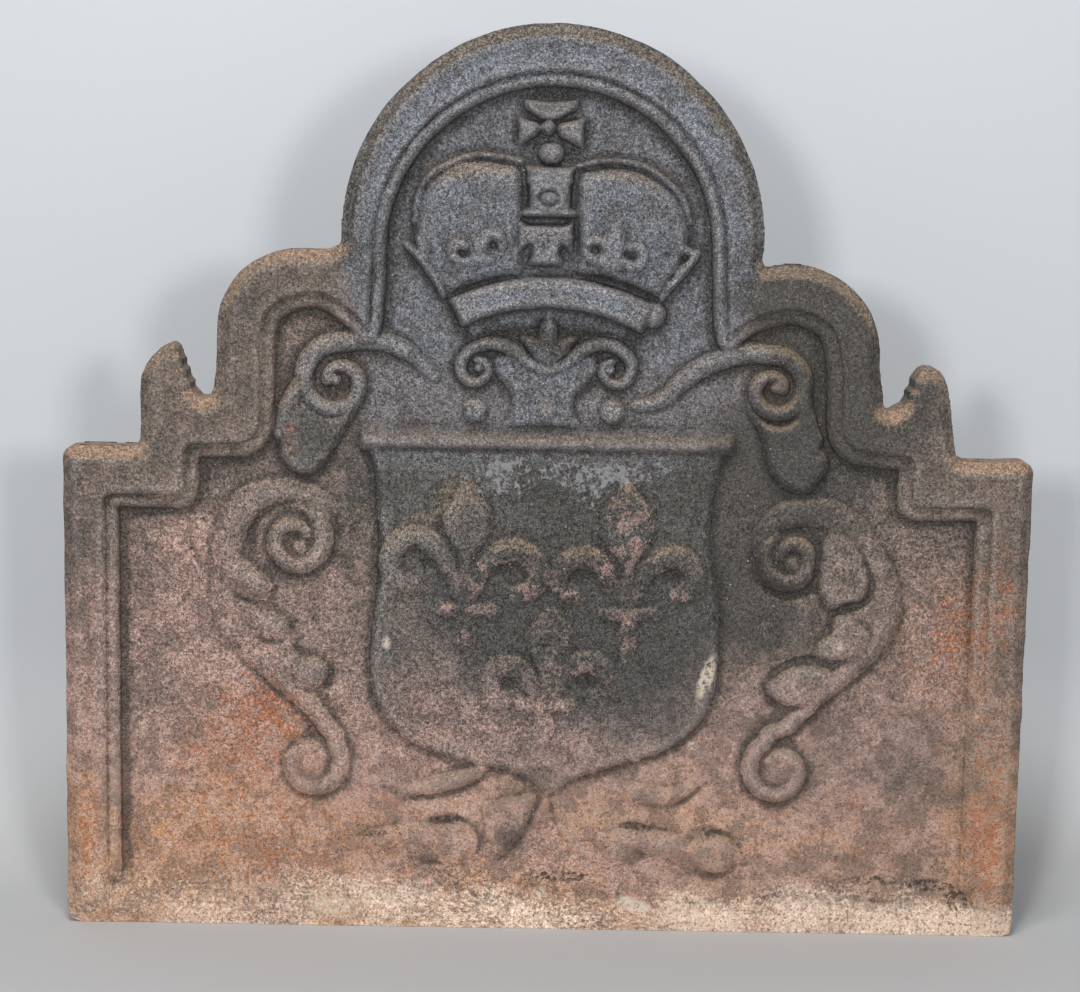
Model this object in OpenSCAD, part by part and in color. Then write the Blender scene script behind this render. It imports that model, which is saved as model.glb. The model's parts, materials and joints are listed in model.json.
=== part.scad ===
// Cast iron fireback with a crowned shield, standing upright in a hearth.
// X runs to the right, Y runs back through the plate and Z runs up.
// The origin is the middle of the plate's underside.
// Every outline is drawn flat, as seen from the front, and raised towards the viewer.
// Pairs in square brackets hold the left piece's value first, then the right piece's.

/* [Plate] */
// Width over the two sides
plate_w = 640; // [600:5:700]
// Height of the shoulders over the hearth
shoulder_h = 325; // [318:1:360]
// Thickness of the plate behind the ornament
plate_t = 16; // [12:1:24]

/* [Arch] */
// Outer radius of the arch
arch_r = 138; // [135:1:146]
// Height of the arch's centre over the shoulders
arch_rise = 141; // [139:1:155]
// Width of the arch's band, from its outer edge to its groove
arch_band = 24; // [22:0.5:27]

/* [Lobes and ears] */
// Reach of the lobes from the middle
lobe_x = 217; // [213:1:222]
// Height of the lobes over the shoulders
lobe_rise = 130; // [124:1:136]
// Round of the left lobe's corner
lobe_r_left = 51; // [46:1:60]
// Round of the right lobe's corner
lobe_r_right = 57; // [46:1:60]
// Reach of the ears from the middle
ear_x = 268; // [264:1:275]
// Height of the left ear's broken tip over the shoulders
ear_rise_left = 68; // [50:1:80]
// Height of the right ear's broken tip over the shoulders
ear_rise_right = 61; // [50:1:80]
// Height of the notch between ear and lobe over the shoulders
notch_rise = 33; // [29:1:38]

/* [Rim] */
// Width of the rim's band with its bevel
rim_w = 28; // [24:0.5:29]
// Height of the rim over the field
rim_h = 11; // [8:0.5:15]
// Width of the rim's outer bevel
bevel_w = 8; // [4:0.5:12]
// Height of the rim's outer edge over the field
edge_h = 4; // [2:0.5:6]
// Width of the bead inside the rim
bead_w = 7; // [5:0.5:8]
// Height of the bead over the field
bead_h = 8; // [5:0.5:10]
// Where the side beads die out over the hearth
bead_foot = 26; // [10:1:40]

/* [Crown] */
// Height of the crown's puffed caps over the field
cap_h = 10; // [7:0.5:14]
// Height of the circlet over the field
circlet_h = 13; // [9:0.5:16]
// Width of the circlet's band
circlet_w = 19.5; // [16:0.5:21]
// Height of the crown's ornaments over the caps
fleuron_h = 3; // [2:0.5:5]
// Height of the centre band over the field
crown_band_h = 13; // [10:0.5:16]
// Width of the centre band
crown_band_w = 29; // [24:0.5:31]
// Radius of the orb
orb_r = 8; // [6:0.5:8]
// Height of the top cross over the field
cross_h = 10; // [7:0.5:13]

/* [Bracket and straps] */
// Height of the bracket's stem over the field
stem_h = 6; // [4:0.5:9]
// Height of the volutes' ridges over the field
volute_h = 7; // [4:0.5:10]
// Radius of the pearls on the ledge
pearl_r = 8; // [6:0.5:9]
// Height of the strap ribbons over the field
strap_h = 8; // [5:0.5:11]
// Height of the hanging tongues over the field
tongue_h = 9; // [6:0.5:12]

/* [Shield] */
// Width of the shield under its ledge
shield_w = 236; // [220:1:244]
// Height of the shield from its point to the ledge
shield_drop = 232; // [222:1:238]
// Height of the shield over the field
shield_h = 5; // [3:0.5:8]
// Length of the ledge over the shield
ledge_w = 250; // [240:1:256]
// Depth of the ledge over the field
ledge_h = 10; // [8:0.5:14]
// Thickness of the ledge, from its underside to its top
ledge_t = 10; // [8:0.5:12]
// Height of the fleurs-de-lis over the shield
fleur_h = 4; // [2:0.5:6]

/* [Side scrolls and foot] */
// Height of the side volutes over the field
scroll_h = 7; // [4:0.5:10]
// Height of the acanthus leaves over the field
leaf_h = 6; // [4:0.5:9]
// Height of the worn foot ornament over the field
foot_h = 4; // [2:0.5:6]

/* [Hidden] */
$fn = 96;
half_w = plate_w / 2;
arch_z = shoulder_h + arch_rise;
lobe_z = shoulder_h + lobe_rise;
notch_z = shoulder_h + notch_rise;
lobe_r = [lobe_r_left, lobe_r_right];
ear_rise = [ear_rise_left, ear_rise_right];
seat = 0.3;                    // gap between ornaments that stand side by side
arch_groove_r = arch_r - arch_band;
bead_in = rim_w + bead_w / 2;
bead_half = (bead_w - seat) / 2;
bead_turn = (rim_w + bead_w) / 2; // round of the bead where it passes the ear's root
groove_c = [-2, arch_z - 6];   // the arch's groove and bead are struck from here
bead_r = arch_groove_r - bead_w / 2;
leg_foot = arch_z - 56;        // lowest point of the arch band's legs
drawn_groove_r = 114;          // the crown's outlines are drawn for a groove of this radius
crown_fit = arch_groove_r / drawn_groove_r;
crown_at = [-2, arch_z - 26 * crown_fit]; // middle of the circlet's upper edge
circlet_r = 144 * crown_fit;   // radius of the circlet's upper edge
circlet_turn = 27;             // half the angle that the circlet takes in
ledge_z = shoulder_h + 3;      // underside of the ledge and top of the shield
flank_x = (shield_w / 2 + half_w) / 2; // half way from the shield's corner to the plate's side
foot_z = ledge_z - shield_drop; // the foot ornament is drawn from the shield's point
lap = 2;                       // overlap of parts of one node

// ---- colours of the worn iron
graphite = [0.36, 0.37, 0.39];
umber = [0.42, 0.35, 0.30];
rust = [0.56, 0.38, 0.27];
soot = [0.25, 0.25, 0.24];
mauve = [0.45, 0.38, 0.36];

// ---- curves
function unit(v) = v / max(norm(v), 0.000001);
function left_of(v) = [-v[1], v[0]];
function arc(c, r, a0, a1, n) = [for (i = [0:n]) let (a = a0 + (a1 - a0) * i / n) c + r * [cos(a), sin(a)]];
// A volute: its radius shrinks by the same share for each degree that it turns
function spiral(c, r0, r1, a0, turn, n) =
    [for (i = [0:n]) let (t = i / n, a = a0 + turn * t) c + r0 * pow(r1 / r0, t) * [cos(a), sin(a)]];
// A slower volute: its turns keep the same distance from each other
function coil(c, r0, r1, a0, turn, n) =
    [for (i = [0:n]) let (t = i / n, a = a0 + turn * t) c + (r0 + (r1 - r0) * t) * [cos(a), sin(a)]];
function curve_point(a, b, c, d, t) =
    0.5 * (2 * b + (c - a) * t + (2 * a - 5 * b + 4 * c - d) * t * t + (3 * b - a - 3 * c + d) * t * t * t);
// A smooth open curve through the points of p, with n steps between two of them
function through(p, n) = let (m = len(p) - 1) concat(
    [for (i = [0:m - 1], k = [0:n - 1])
        curve_point(p[max(i - 1, 0)], p[i], p[i + 1], p[min(i + 2, m)], k / n)],
    [p[m]]);
// The same, closed
function loop_through(p, n) = let (m = len(p))
    [for (i = [0:m - 1], k = [0:n - 1])
        curve_point(p[(i + m - 1) % m], p[i], p[(i + 1) % m], p[(i + 2) % m], k / n)];
// The value at share t of a list of widths or heights
function at(list, t) = let (x = t * (len(list) - 1), i = min(floor(x), len(list) - 2))
    list[i] + (list[i + 1] - list[i]) * (x - i);
// Sideways direction at point i of a path, longer in a corner so that the edges stay parallel
function side_of(p, i) = let (
    m = len(p) - 1,
    a = left_of(unit(p[max(i, 1)] - p[max(i, 1) - 1])),
    b = left_of(unit(p[min(i + 1, m)] - p[min(i + 1, m) - 1])))
    (a + b) / max(1 + a * b, 0.4);
function reversed(p) = [for (i = [len(p) - 1:-1:0]) p[i]];

// ---- solids
module on_field(h = 0) {
    translate([0, -plate_t / 2 - h, 0]) rotate([90, 0, 0]) children();
}
// Draws a left piece as it is and a right piece mirrored
module on_side(side) {
    if (side == 0) children();
    else mirror([1, 0, 0]) children();
}
// A closed solid through rings of points that all have the same count
module skin(rings) {
    m = len(rings[0]);
    n = len(rings);
    polyhedron(
        points = [for (r = rings) each r],
        faces = concat(
            [[for (k = [0:m - 1]) k]],
            [for (j = [0:n - 2], k = [0:m - 1])
                [j * m + k, (j + 1) * m + k, (j + 1) * m + (k + 1) % m, j * m + (k + 1) % m]],
            [[for (k = [m - 1:-1:0]) (n - 1) * m + k]]),
        convexity = 6);
}
// A round-backed strip along a path: w and h hold half widths and heights from its start to its end
module ribbon(path, w, h, sides = 4, wr = undef) {
    n = len(path) - 1;
    skin([for (i = [0:n]) let (t = i / n, s = side_of(path, i), left = at(w, t),
            right = wr == undef ? left : at(wr, t))
        [for (k = [0:sides]) let (a = 180 * k / sides, q = path[i] + s * cos(a) * (a < 90 ? left : right))
            [q[0], q[1], at(h, t) * sin(a)]]]);
}
// A band between an outer and an inner edge, with a bevel of width b along the outer one
module railed(outer, inner, b = bevel_w) {
    skin([for (i = [0:len(outer) - 1]) let (
            bi = is_list(b) ? b[i] : b,
            p = outer[i] + unit(inner[i] - outer[i]) * bi)
        [[outer[i][0], outer[i][1], 0], [outer[i][0], outer[i][1], edge_h], [p[0], p[1], rim_h],
         [inner[i][0], inner[i][1], rim_h], [inner[i][0], inner[i][1], 0]]]);
}
// A pillow over an outline that runs anticlockwise round c: steps are [share of the outline, height]
module pillow(outline, c, steps) {
    n = len(outline);
    k = len(steps);
    polyhedron(
        points = concat(
            [for (s = steps, p = outline) let (q = c + s[0] * (p - c)) [q[0], q[1], s[1]]],
            [[c[0], c[1], steps[0][1]], [c[0], c[1], steps[k - 1][1]]]),
        faces = concat(
            [for (j = [0:k - 2], i = [0:n - 1])
                [j * n + i, (j + 1) * n + i, (j + 1) * n + (i + 1) % n, j * n + (i + 1) % n]],
            [for (i = [0:n - 1]) [k * n, i, (i + 1) % n]],
            [for (i = [0:n - 1]) [k * n + 1, (k - 1) * n + (i + 1) % n, (k - 1) * n + i]]),
        convexity = 4);
}
function puffed(h) = [[1, 0], [0.97, 0.45 * h], [0.86, 0.8 * h], [0.6, h]];
function carved(h) = [[1, 0], [0.95, 0.7 * h], [0.8, h]];
// A low round button of radius r and height h
module button(c, r, h) {
    ball = (r * r + h * h) / (2 * h);
    translate([c[0], c[1], 0]) intersection() {
        translate([0, 0, h - ball]) sphere(ball);
        cylinder(h = h + 1, r = ball + 1);
    }
}

// ---- outline of the plate
module lobe_slab(side) {
    r = lobe_r[side];
    translate([-lobe_x, 0, 0]) cube([lobe_x, lobe_z - r, plate_t]);
    translate([r - lobe_x, 0, 0]) cube([lobe_x - r, lobe_z, plate_t]);
    translate([r - lobe_x, lobe_z - r, 0]) cylinder(h = plate_t, r = r);
}
function ear_outer(side) = let (tip = shoulder_h + ear_rise[side], gap = tip - notch_z) concat(
    [[-ear_x, shoulder_h], [-ear_x, notch_z - 4]],
    through([[-ear_x, notch_z - 4], [3 - ear_x, tip - 16], [11 - ear_x, tip - 3], [18 - ear_x, tip]], 3),
    [[24 - ear_x, tip - 1], [28 - ear_x, tip - 0.28 * gap], [31 - ear_x, notch_z + 0.45 * gap],
     [35 - ear_x, notch_z + 0.15 * gap], [40 - ear_x, notch_z], [-lobe_x - 4, notch_z - 1],
     [-lobe_x, notch_z + 3]]);
module ear_slab(side) {
    linear_extrude(plate_t)
        polygon(concat([[20 - lobe_x, 20], [-ear_x, 20]], ear_outer(side), [[20 - lobe_x, notch_z + 3]]));
}
module base_plate() {
    color(mauve) on_field(-plate_t) {
        translate([-half_w, 0, 0]) cube([plate_w, shoulder_h, plate_t]);
        translate([0, arch_z, 0]) cylinder(h = plate_t, r = arch_r);
        for (side = [0, 1]) on_side(side) {
            lobe_slab(side);
            ear_slab(side);
        }
    }
}

// ---- rim
module straight_rim(length) {
    rotate([90, 0, 90]) linear_extrude(length)
        polygon([[0, 0], [0, edge_h], [bevel_w, rim_h], [rim_w, rim_h], [rim_w, 0]]);
}
module side_rim(side) {
    color(umber) on_field() on_side(side) intersection() {
        translate([-half_w, shoulder_h, 0]) rotate([0, 0, -90]) straight_rim(shoulder_h);
        linear_extrude(2 * rim_h)
            polygon([[-half_w, 0], [rim_w - half_w, 0], [rim_w - half_w, shoulder_h - rim_w],
                     [-half_w, shoulder_h]]);
    }
}
module shoulder_rim(side) {
    color(umber) on_field() on_side(side) intersection() {
        translate([-half_w, shoulder_h, 0]) mirror([0, 1, 0]) straight_rim(half_w - ear_x + rim_w);
        linear_extrude(2 * rim_h)
            polygon([[-half_w, shoulder_h], [rim_w - half_w, shoulder_h - rim_w],
                     [rim_w - ear_x, shoulder_h - rim_w], [-ear_x, shoulder_h]]);
    }
}
module ear_rim(side) {
    outer = ear_outer(side);
    last = len(outer) - 1;
    under = notch_z - rim_w;
    bend = 5;
    inner = [for (i = [0:last])
        i < bend ? [rim_w - ear_x, shoulder_h - rim_w + (under - shoulder_h + rim_w) * i / bend]
                 : [rim_w - ear_x + (ear_x - rim_w / 2 - lobe_x) * (i - bend) / (last - bend), under]];
    color(umber) on_field() on_side(side)
        railed(outer, inner, [for (i = [0:last]) bevel_w * min(1, max(0.25, 2.2 - 2.6 * i / last))]);
}
function lobe_centre(side) = [lobe_r[side] - lobe_x, lobe_z - lobe_r[side]];
function lobe_outer(side) = concat(
    [[-lobe_x, notch_z + 3], [-lobe_x, notch_z + 8], [-lobe_x, notch_z + 14], [-lobe_x, notch_z + 22]],
    arc(lobe_centre(side), lobe_r[side], 180, 90, 9),
    [[-arch_r - 12, lobe_z], [-arch_r - 6, lobe_z], [-arch_r - 1, lobe_z]]);
function lobe_inner(side) = let (c = lobe_centre(side), r = lobe_r[side] - rim_w) concat(
    [[rim_w / 2 - lobe_x, notch_z - rim_w]],
    arc([rim_w / 2 - lobe_x, notch_z - rim_w / 2], rim_w / 2, -60, 0, 2),
    arc(c, r, 180, 90, 9),
    [[-arch_r - 12, lobe_z - rim_w], [-arch_r, lobe_z - rim_w - 7], [-arch_groove_r - 10, leg_foot]]);
module lobe_rim(side) {
    outer = lobe_outer(side);
    color(umber) on_field() on_side(side) railed(outer, lobe_inner(side),
        [for (i = [0:len(outer) - 1]) bevel_w * min(1, 0.25 + 0.25 * i)]);
}
module arch_rim() {
    reach = 2 * arch_r;
    foot = groove_c[1];
    color(graphite) on_field() {
        difference() {
            union() {
                translate([0, arch_z, 0]) cylinder(h = edge_h, r = arch_r);
                translate([0, arch_z, edge_h])
                    cylinder(h = rim_h - edge_h, r1 = arch_r, r2 = arch_r - bevel_w);
            }
            translate([groove_c[0], groove_c[1], -1]) cylinder(h = rim_h + 2, r = arch_groove_r);
            translate([-reach, foot - reach, -1]) cube([2 * reach, reach, rim_h + 2]);
        }
        for (side = [0, 1]) on_side(side) {
            groove_x = side == 0 ? groove_c[0] - arch_groove_r : -groove_c[0] - arch_groove_r;
            linear_extrude(rim_h)
                polygon([[-arch_r + 1, foot], [-arch_r - 1 + seat, lobe_z], [-arch_groove_r - 10, leg_foot],
                         [groove_x - 5, leg_foot + 4], [groove_x, foot], [groove_x - lap, foot + lap],
                         [-arch_r + bevel_w + lap, foot + lap]]);
        }
    }
}
// The line of the side bead: up the side, round the ear's root, up the lobe and down into the arch's foot
function bead_line(side) = let (r = lobe_r[side] - bead_in, w = half_w - bead_in) concat(
    [[-w, bead_foot], [-w, shoulder_h - bead_in], [bead_in - ear_x, shoulder_h - bead_in],
     [bead_in - ear_x, notch_z - bead_in], [-lobe_x + 10, notch_z - bead_in]],
    arc([bead_in - lobe_x - bead_turn, notch_z - bead_in + bead_turn], bead_turn, -70, 0, 4),
    arc(lobe_centre(side), r, 180, 90, 8),
    through([[-arch_r - 12, lobe_z - bead_in - seat], [-arch_r - 3, lobe_z - bead_in - 7],
             [-arch_r + 10, leg_foot - 2.5]], 3));
module rim_bead(side) {
    color(umber) on_field() on_side(side) ribbon(bead_line(side), [bead_half, bead_half], [bead_h, bead_h]);
}
module arch_bead() {
    line = concat(
        [[groove_c[0] - bead_r - 5, leg_foot - 2]],
        arc(groove_c, bead_r, 180, 0, 44),
        [[groove_c[0] + bead_r + 1, leg_foot - 2]]);
    color(graphite) on_field() ribbon(line, [bead_half, bead_half], [bead_h, bead_h]);
}

// ---- crown, drawn from the middle of the circlet's upper edge
module on_crown(h = 0) {
    on_field(h) translate([crown_at[0], crown_at[1], 0]) children();
}
function fitted(p) = [for (q = p) crown_fit * q];
function circlet_edge(r, a0, a1, n) = arc([0, -circlet_r], r, a0, a1, n);
module crown_circlet() {
    r0 = circlet_r - circlet_w;
    color(graphite) on_crown() translate([0, -circlet_r, 0]) rotate([0, 0, 90 - circlet_turn])
        rotate_extrude(angle = 2 * circlet_turn) polygon([
            [r0, 0], [r0, circlet_h - 3], [r0 + 1.5, circlet_h - 0.5], [r0 + 4, circlet_h],
            [r0 + 7, circlet_h - 2], [circlet_r - 6, circlet_h - 2], [circlet_r - 3, circlet_h],
            [circlet_r - 1, circlet_h - 1], [circlet_r, circlet_h - 3], [circlet_r, 0]]);
}
// The inside of the crown's back edge, seen under the circlet
module crown_lining() {
    r1 = circlet_r - circlet_w - seat;
    color(soot) on_crown() translate([0, -circlet_r, 0]) rotate([0, 0, 90 - circlet_turn + 3])
        rotate_extrude(angle = 2 * circlet_turn - 6) polygon([[r1 - 9, 0], [r1 - 6, 3], [r1, 4], [r1, 0]]);
}
cap_half = crown_band_w / 2 + seat;
// From the circlet up beside the centre band, over the top and down the outer side
function cap_outline() = through(concat(
    [[-cap_half - 2, 28 * crown_fit], [-cap_half, 45 * crown_fit], [-cap_half - 3, 66 * crown_fit]],
    fitted([[-24, 75], [-40, 79], [-58, 79], [-72, 73], [-84, 60], [-90, 44], [-91, 28], [-86, 13],
        [-78, 0]])), 2);
module puff() {
    outline = concat(cap_outline(), circlet_edge(circlet_r + seat, 90 + 26, 90 + 9, 6));
    steps = [[1, 0], [0.97, 0.5 * cap_h], [0.91, 0.85 * cap_h], [0.82, cap_h]];
    pillow(outline, crown_fit * [-50, 34], steps);
}
module cap(side) {
    color(graphite) on_crown() on_side(side) puff();
}
module crown_band() {
    w = crown_band_w / 2;
    z = crown_fit * [40, 64, 72.5];
    color(umber) on_crown() pillow(
        [[-w, z[0]], [w, z[0]], [w, z[1]], [w + 1, z[2]], [-w - 1, z[2]], [-w, z[1]]], [0, 56 * crown_fit],
        carved(crown_band_h));
}
module crown_jewel() {
    color(umber) on_crown(crown_band_h) translate([-1, 52 * crown_fit, 0]) rotate_extrude()
        polygon([[0, 0], [0, 2.4], [2, 2], [3.6, 0.6], [4.5, 0.4], [5.5, 1.2], [7.5, 1.2], [8.5, 0]]);
}
orb_z = 72.5 * crown_fit + 0.5 + orb_r; // the orb stands on the centre band
module crown_orb() {
    color(umber) on_crown() translate([0, orb_z, 0]) intersection() {
        translate([0, 0, 5]) sphere(orb_r);
        cylinder(h = 5 + 2 * orb_r, r = orb_r + 1);
    }
}
// A cross with arms that widen: each arm is [direction, reach, half width at its end]
function pattee(arms, waist) = [for (a = arms) let (u = [cos(a[0]), sin(a[0])], v = left_of(u)) each
    [(waist + 1) * u - waist * v, 0.72 * a[1] * u - 0.74 * a[2] * v, a[1] * u - a[2] * v,
     a[1] * u + a[2] * v, 0.72 * a[1] * u + 0.74 * a[2] * v, (waist + 1) * u + waist * v]];
module crown_cross() {
    arms = pattee([[-12, 22, 9], [90, 18, 15], [192, 22, 9]], 3.5);
    color(umber) on_crown() translate([-1, orb_z + orb_r + 10 * crown_fit, 0])
        pillow(fitted(arms), [0, 2], carved(cross_h));
}
module circlet_cross() {
    arms = pattee([[0, 17, 9], [90, 12, 12], [180, 16, 9], [270, 16, 12]], 4);
    color(graphite) on_crown() difference() {
        translate(crown_fit * [-3, 25, 0]) pillow(fitted(arms), [0, 0], carved(cap_h + fleuron_h));
        for (side = [0, 1]) on_side(side) puff();
    }
}
// A bud between two curled leaves
function trefoil() = loop_through([
    [-5, 0], [5, 0], [7, 7], [13, 6], [17, 11], [13, 16], [7, 14], [5, 20], [0, 30], [-5, 20], [-7, 14],
    [-13, 16], [-17, 11], [-13, 6], [-7, 7]], 2);
module fleuron(side) {
    color(graphite) on_crown(cap_h) on_side(side) translate(crown_fit * [-46, 9, 0]) rotate([0, 0, 6])
        pillow(fitted(trefoil()), crown_fit * [0, 11], carved(fleuron_h));
}
module half_fleuron(side) {
    leaf = through(fitted([[-72, -14], [-79, -4], [-87, 8], [-95, 18], [-99, 25], [-97, 30]]), 3);
    color(graphite) on_crown() on_side(side) difference() {
        ribbon(leaf, [1, 4, 4.5, 5, 5, 1], [2, 5, 6, 6, 5, 2], 4, [2, 7, 7, 6, 4, 1]);
        puff();
    }
}

// ---- bracket under the crown, drawn from the middle of the ledge's upper side
module on_ledge(h = 0) {
    on_field(h) translate([-3, ledge_z + ledge_t, 0]) children();
}
module bracket_stem() {
    outline = [[-23, 22], [19, 22], [24, 32], [27, 40], [12, 43], [4, 42], [-1, 42], [-12, 42.5], [-29, 40],
               [-28, 33]];
    color(graphite) on_ledge() pillow(outline, [-2, 32], carved(stem_h));
}
module bracket_volute(side) {
    c = side == 0 ? [-44.5, 43.5] : [-42.5, 42.5];
    lead = through([[-4, 45.5], [-14, 47.5], [-22, 53], [-31, 57.5]], 3);
    line = concat(lead, spiral(c, 14.8, 4.2, 68, 500, 30));
    color(graphite) on_ledge() on_side(side) {
        ribbon(line, [3.2, 3.2, 2.8, 2.4, 1.8], [volute_h, volute_h, volute_h, 0.8 * volute_h]);
        button(c, 2.2, volute_h);
    }
}
module bracket_palmette() {
    petals = [[90, 23.5, 4.5], [125, 20, 4], [55, 20, 4]];
    color(graphite) on_ledge() translate([1, 46, 0]) {
        for (p = petals) rotate([0, 0, p[0]])
            ribbon([[3, 0], [0.45 * p[1] + 4, 0], [0.75 * p[1] + 4, 0], [p[1] + 3, 0]],
                [2, p[2] * 0.6, p[2], 0.6], [4, 8, 9, 5]);
    }
}
module ledge_pearl(x) {
    color(graphite) on_ledge() button([x, 14], pearl_r, 0.8 * pearl_r);
}

// ---- strap scrolls beside the bracket: ribbon with volute, and the tongue that hangs from it.
// Both are drawn from the volute's eye, which keeps its distance from the lobe's flank
strap_eye = [[76 - lobe_x, ledge_z + ledge_t + 32], [67.5 - lobe_x, ledge_z + ledge_t + 28]];
module on_strap(side) {
    on_field() on_side(side) translate([strap_eye[side][0], strap_eye[side][1], 0]) children();
}
module strap(side) {
    lead = side == 0
        ? through([[58, 2], [50, 12], [39, 19], [27, 24], [14, 25.5]], 3)
        : through([[72.5, -4], [60.5, 6], [44.5, 15], [29.5, 21], [14.5, 24]], 3);
    line = concat(lead, spiral([0, 0], 24, 4, 84, 555, 34));
    color(graphite) on_strap(side) {
        ribbon(line, [2.5, 3, 3.6, 3.2, 2], [0.6 * strap_h, strap_h, strap_h, strap_h, 0.8 * strap_h]);
        button([0, 0], 2, strap_h);
    }
}
// The tongue's outline hugs the volute from below, and its horns reach up on both sides of it
function tongue_edge(side) = side == 0
    ? [[14, -14], [10, -18], [1, -20.5], [-8, -19], [-16, -14], [-20.5, -6], [-28, 0], [-34, -13],
       [-39, -26], [-41, -40], [-39, -53], [-33, -61], [-24, -65], [-14, -64.5], [-6, -57], [1, -42],
       [8, -27]]
    : [[18.5, -11], [11.5, -16.5], [0.5, -20], [-10.5, -16.5], [-17, -11], [-20.5, -5], [-25.5, -23],
       [-33, -38.5], [-36.5, -50], [-34.5, -61], [-28.5, -68], [-20.5, -73], [-13.5, -73], [-4.5, -66],
       [2.5, -55], [6.5, -40], [11.5, -25]];
module tongue(side) {
    middle = side == 0 ? [-16, -35] : [-12.5, -43];
    color(soot) on_strap(side) pillow(loop_through(tongue_edge(side), 2), middle, puffed(tongue_h));
}

// ---- shield
module shield_ledge() {
    nose = ledge_t / 2;
    color(umber) on_field() translate([-ledge_w / 2, ledge_z, 0]) rotate([90, 0, 90])
        linear_extrude(ledge_w)
            polygon(concat([[ledge_t, 0]], arc([nose, ledge_h - nose], nose, 20, 180, 10), [[0, 0]]));
}
function shield_outline() = let (w = shield_w / 2, top = ledge_z - seat, foot = ledge_z - shield_drop)
concat(
    through([[w, top], [w - 9, top - 40], [w - 7, top - 90], [w - 2, top - 140], [w - 6, top - 175],
             [w - 30, foot + 28], [w - 62, foot + 16], [20, foot + 6], [4, foot]], 3),
    through([[-4, foot + 1], [-20, foot + 8], [62 - w, foot + 16], [30 - w, foot + 30], [6 - w, top - 175],
             [2 - w, top - 140], [7 - w, top - 90], [9 - w, top - 40], [-w, top]], 3));
module shield() {
    color(soot) on_field() pillow(reversed(shield_outline()), [0, ledge_z - 100],
        [[1, 0], [0.985, 0.8 * shield_h], [0.96, shield_h]]);
}
// One fleur-de-lis, drawn from the middle of its cross bar: bud, two curls, bar and foot
module fleur(petal) {
    ribbon([[0, 4], [0, 26], [0, 40], [0, 58], [0, petal + 20]], [3, 8, 17, 13, 1],
        [2, fleur_h, fleur_h, 0.8 * fleur_h, 1]);
    for (s = [0, 1]) mirror([s, 0, 0])
        ribbon(through([[-5, 9], [-9, 24], [-18, 37], [-31, 41], [-41, 33], [-39, 22], [-30, 19]], 2),
            [2, 4, 6, 7, 7, 5, 2], [2, fleur_h, fleur_h, fleur_h, 2]);
    translate([-17, -1, 0]) cube([34, 6, 0.6 * fleur_h]);
    ribbon([[0, 0], [0, -14], [0, -26]], [5, 8, 1], [0.5 * fleur_h, 0.7 * fleur_h, 1]);
}
module on_shield(x, drop) {
    color(soot) on_field(shield_h) translate([x, ledge_z - drop, 0]) children();
}
module fleur_left() {
    on_shield(-52, 110) fleur(66);
}
module fleur_right() {
    on_shield(52, 114) fleur(66);
}
module fleur_foot() {
    on_shield(-2, 178) scale([0.9, 0.9, 1]) fleur(50);
}

// ---- side scrolls, drawn from the eye of the upper volute
volute_eye = [[52 - flank_x, ledge_z - 68], [53 - flank_x, ledge_z - 77]];
module on_flank(side) {
    on_field() on_side(side) translate([volute_eye[side][0], volute_eye[side][1], 0]) children();
}
// Where the leaf meets the upper volute, and where it meets the lower one
leaf_top = [[-36, 19], [-37, 26]];
leaf_tail = [[10, -110], [-2, -101]];
module upper_volute(side) {
    lead = through(concat([leaf_top[side]], side == 0
        ? [[-31.5, 25.5], [-16, 31.5], [1, 32], [18, 26], [27.5, 13]]
        : [[-28, 33], [-8, 37], [11, 31], [19.5, 15]]), 3);
    turns = side == 0 ? coil([0, 0], 30, 3.5, 14, -400, 34) : coil([0, 0], 23, 3.5, 28, -440, 36);
    color(mauve) on_flank(side) {
        ribbon(concat(lead, turns), [5, 5, 4.5, 4, 3.5, 2.5, 1.5],
            [leaf_h, scroll_h, scroll_h, 0.8 * scroll_h]);
        button([0, 0], 3, scroll_h);
    }
}
module acanthus(side) {
    line = through(concat([leaf_top[side]], side == 0
        ? [[-42, 8], [-45, -15], [-40, -41], [-30, -62], [-16, -80], [1, -97]]
        : [[-48, 15], [-59, -4], [-60, -26], [-53, -48], [-41, -65], [-24, -81], [-10, -93]],
        [leaf_tail[side]]), 3);
    lobes = side == 0
        ? [[[-43, -20], [-34, -25], [-25, -30], [-18, -36]], [[-35, -51], [-24, -57], [-11, -62], [-3, -68]],
           [[-15, -76], [-1, -81], [13, -86], [22, -93]]]
        : [[[-58, -21], [-44, -31], [-31, -38], [-21, -47]],
           [[-48, -55], [-35, -59], [-21, -62], [-11, -69]],
           [[-28, -77], [-10, -77], [6, -79], [16, -86]]];
    color(mauve) on_flank(side) {
        ribbon(line, [5, 8, 9, 9, 8, 7, 4], [leaf_h, leaf_h, leaf_h, 0.8 * leaf_h], 4,
            [5, 9, 11, 11, 10, 8, 4]);
        for (tip = lobes) ribbon(through(tip, 3), [6, 8, 8.5, 2], [1, 0.9 * leaf_h, 0.9 * leaf_h, 1]);
    }
}
module lower_volute(side) {
    c = side == 0 ? [10, -148] : [3, -136];
    line = side == 0
        ? concat([leaf_tail[0], [15, -118.5]], coil(c, 26, 3.5, 55, -500, 38))
        : concat([leaf_tail[1], [6, -109]], coil(c, 23, 3.5, 60, -500, 38));
    color(mauve) on_flank(side) {
        ribbon(line, [4, 4.5, 4, 3.5, 3, 2.5, 1.5], [0.8 * leaf_h, scroll_h, scroll_h, 0.8 * scroll_h]);
        button(c, 3, scroll_h);
    }
}
module side_pearl(side) {
    x = side == 0 ? 75 - flank_x : 71 - flank_x;
    color(mauve) on_field() on_side(side) button([x, ledge_z - 122], pearl_r, 0.6 * pearl_r);
}

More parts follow.
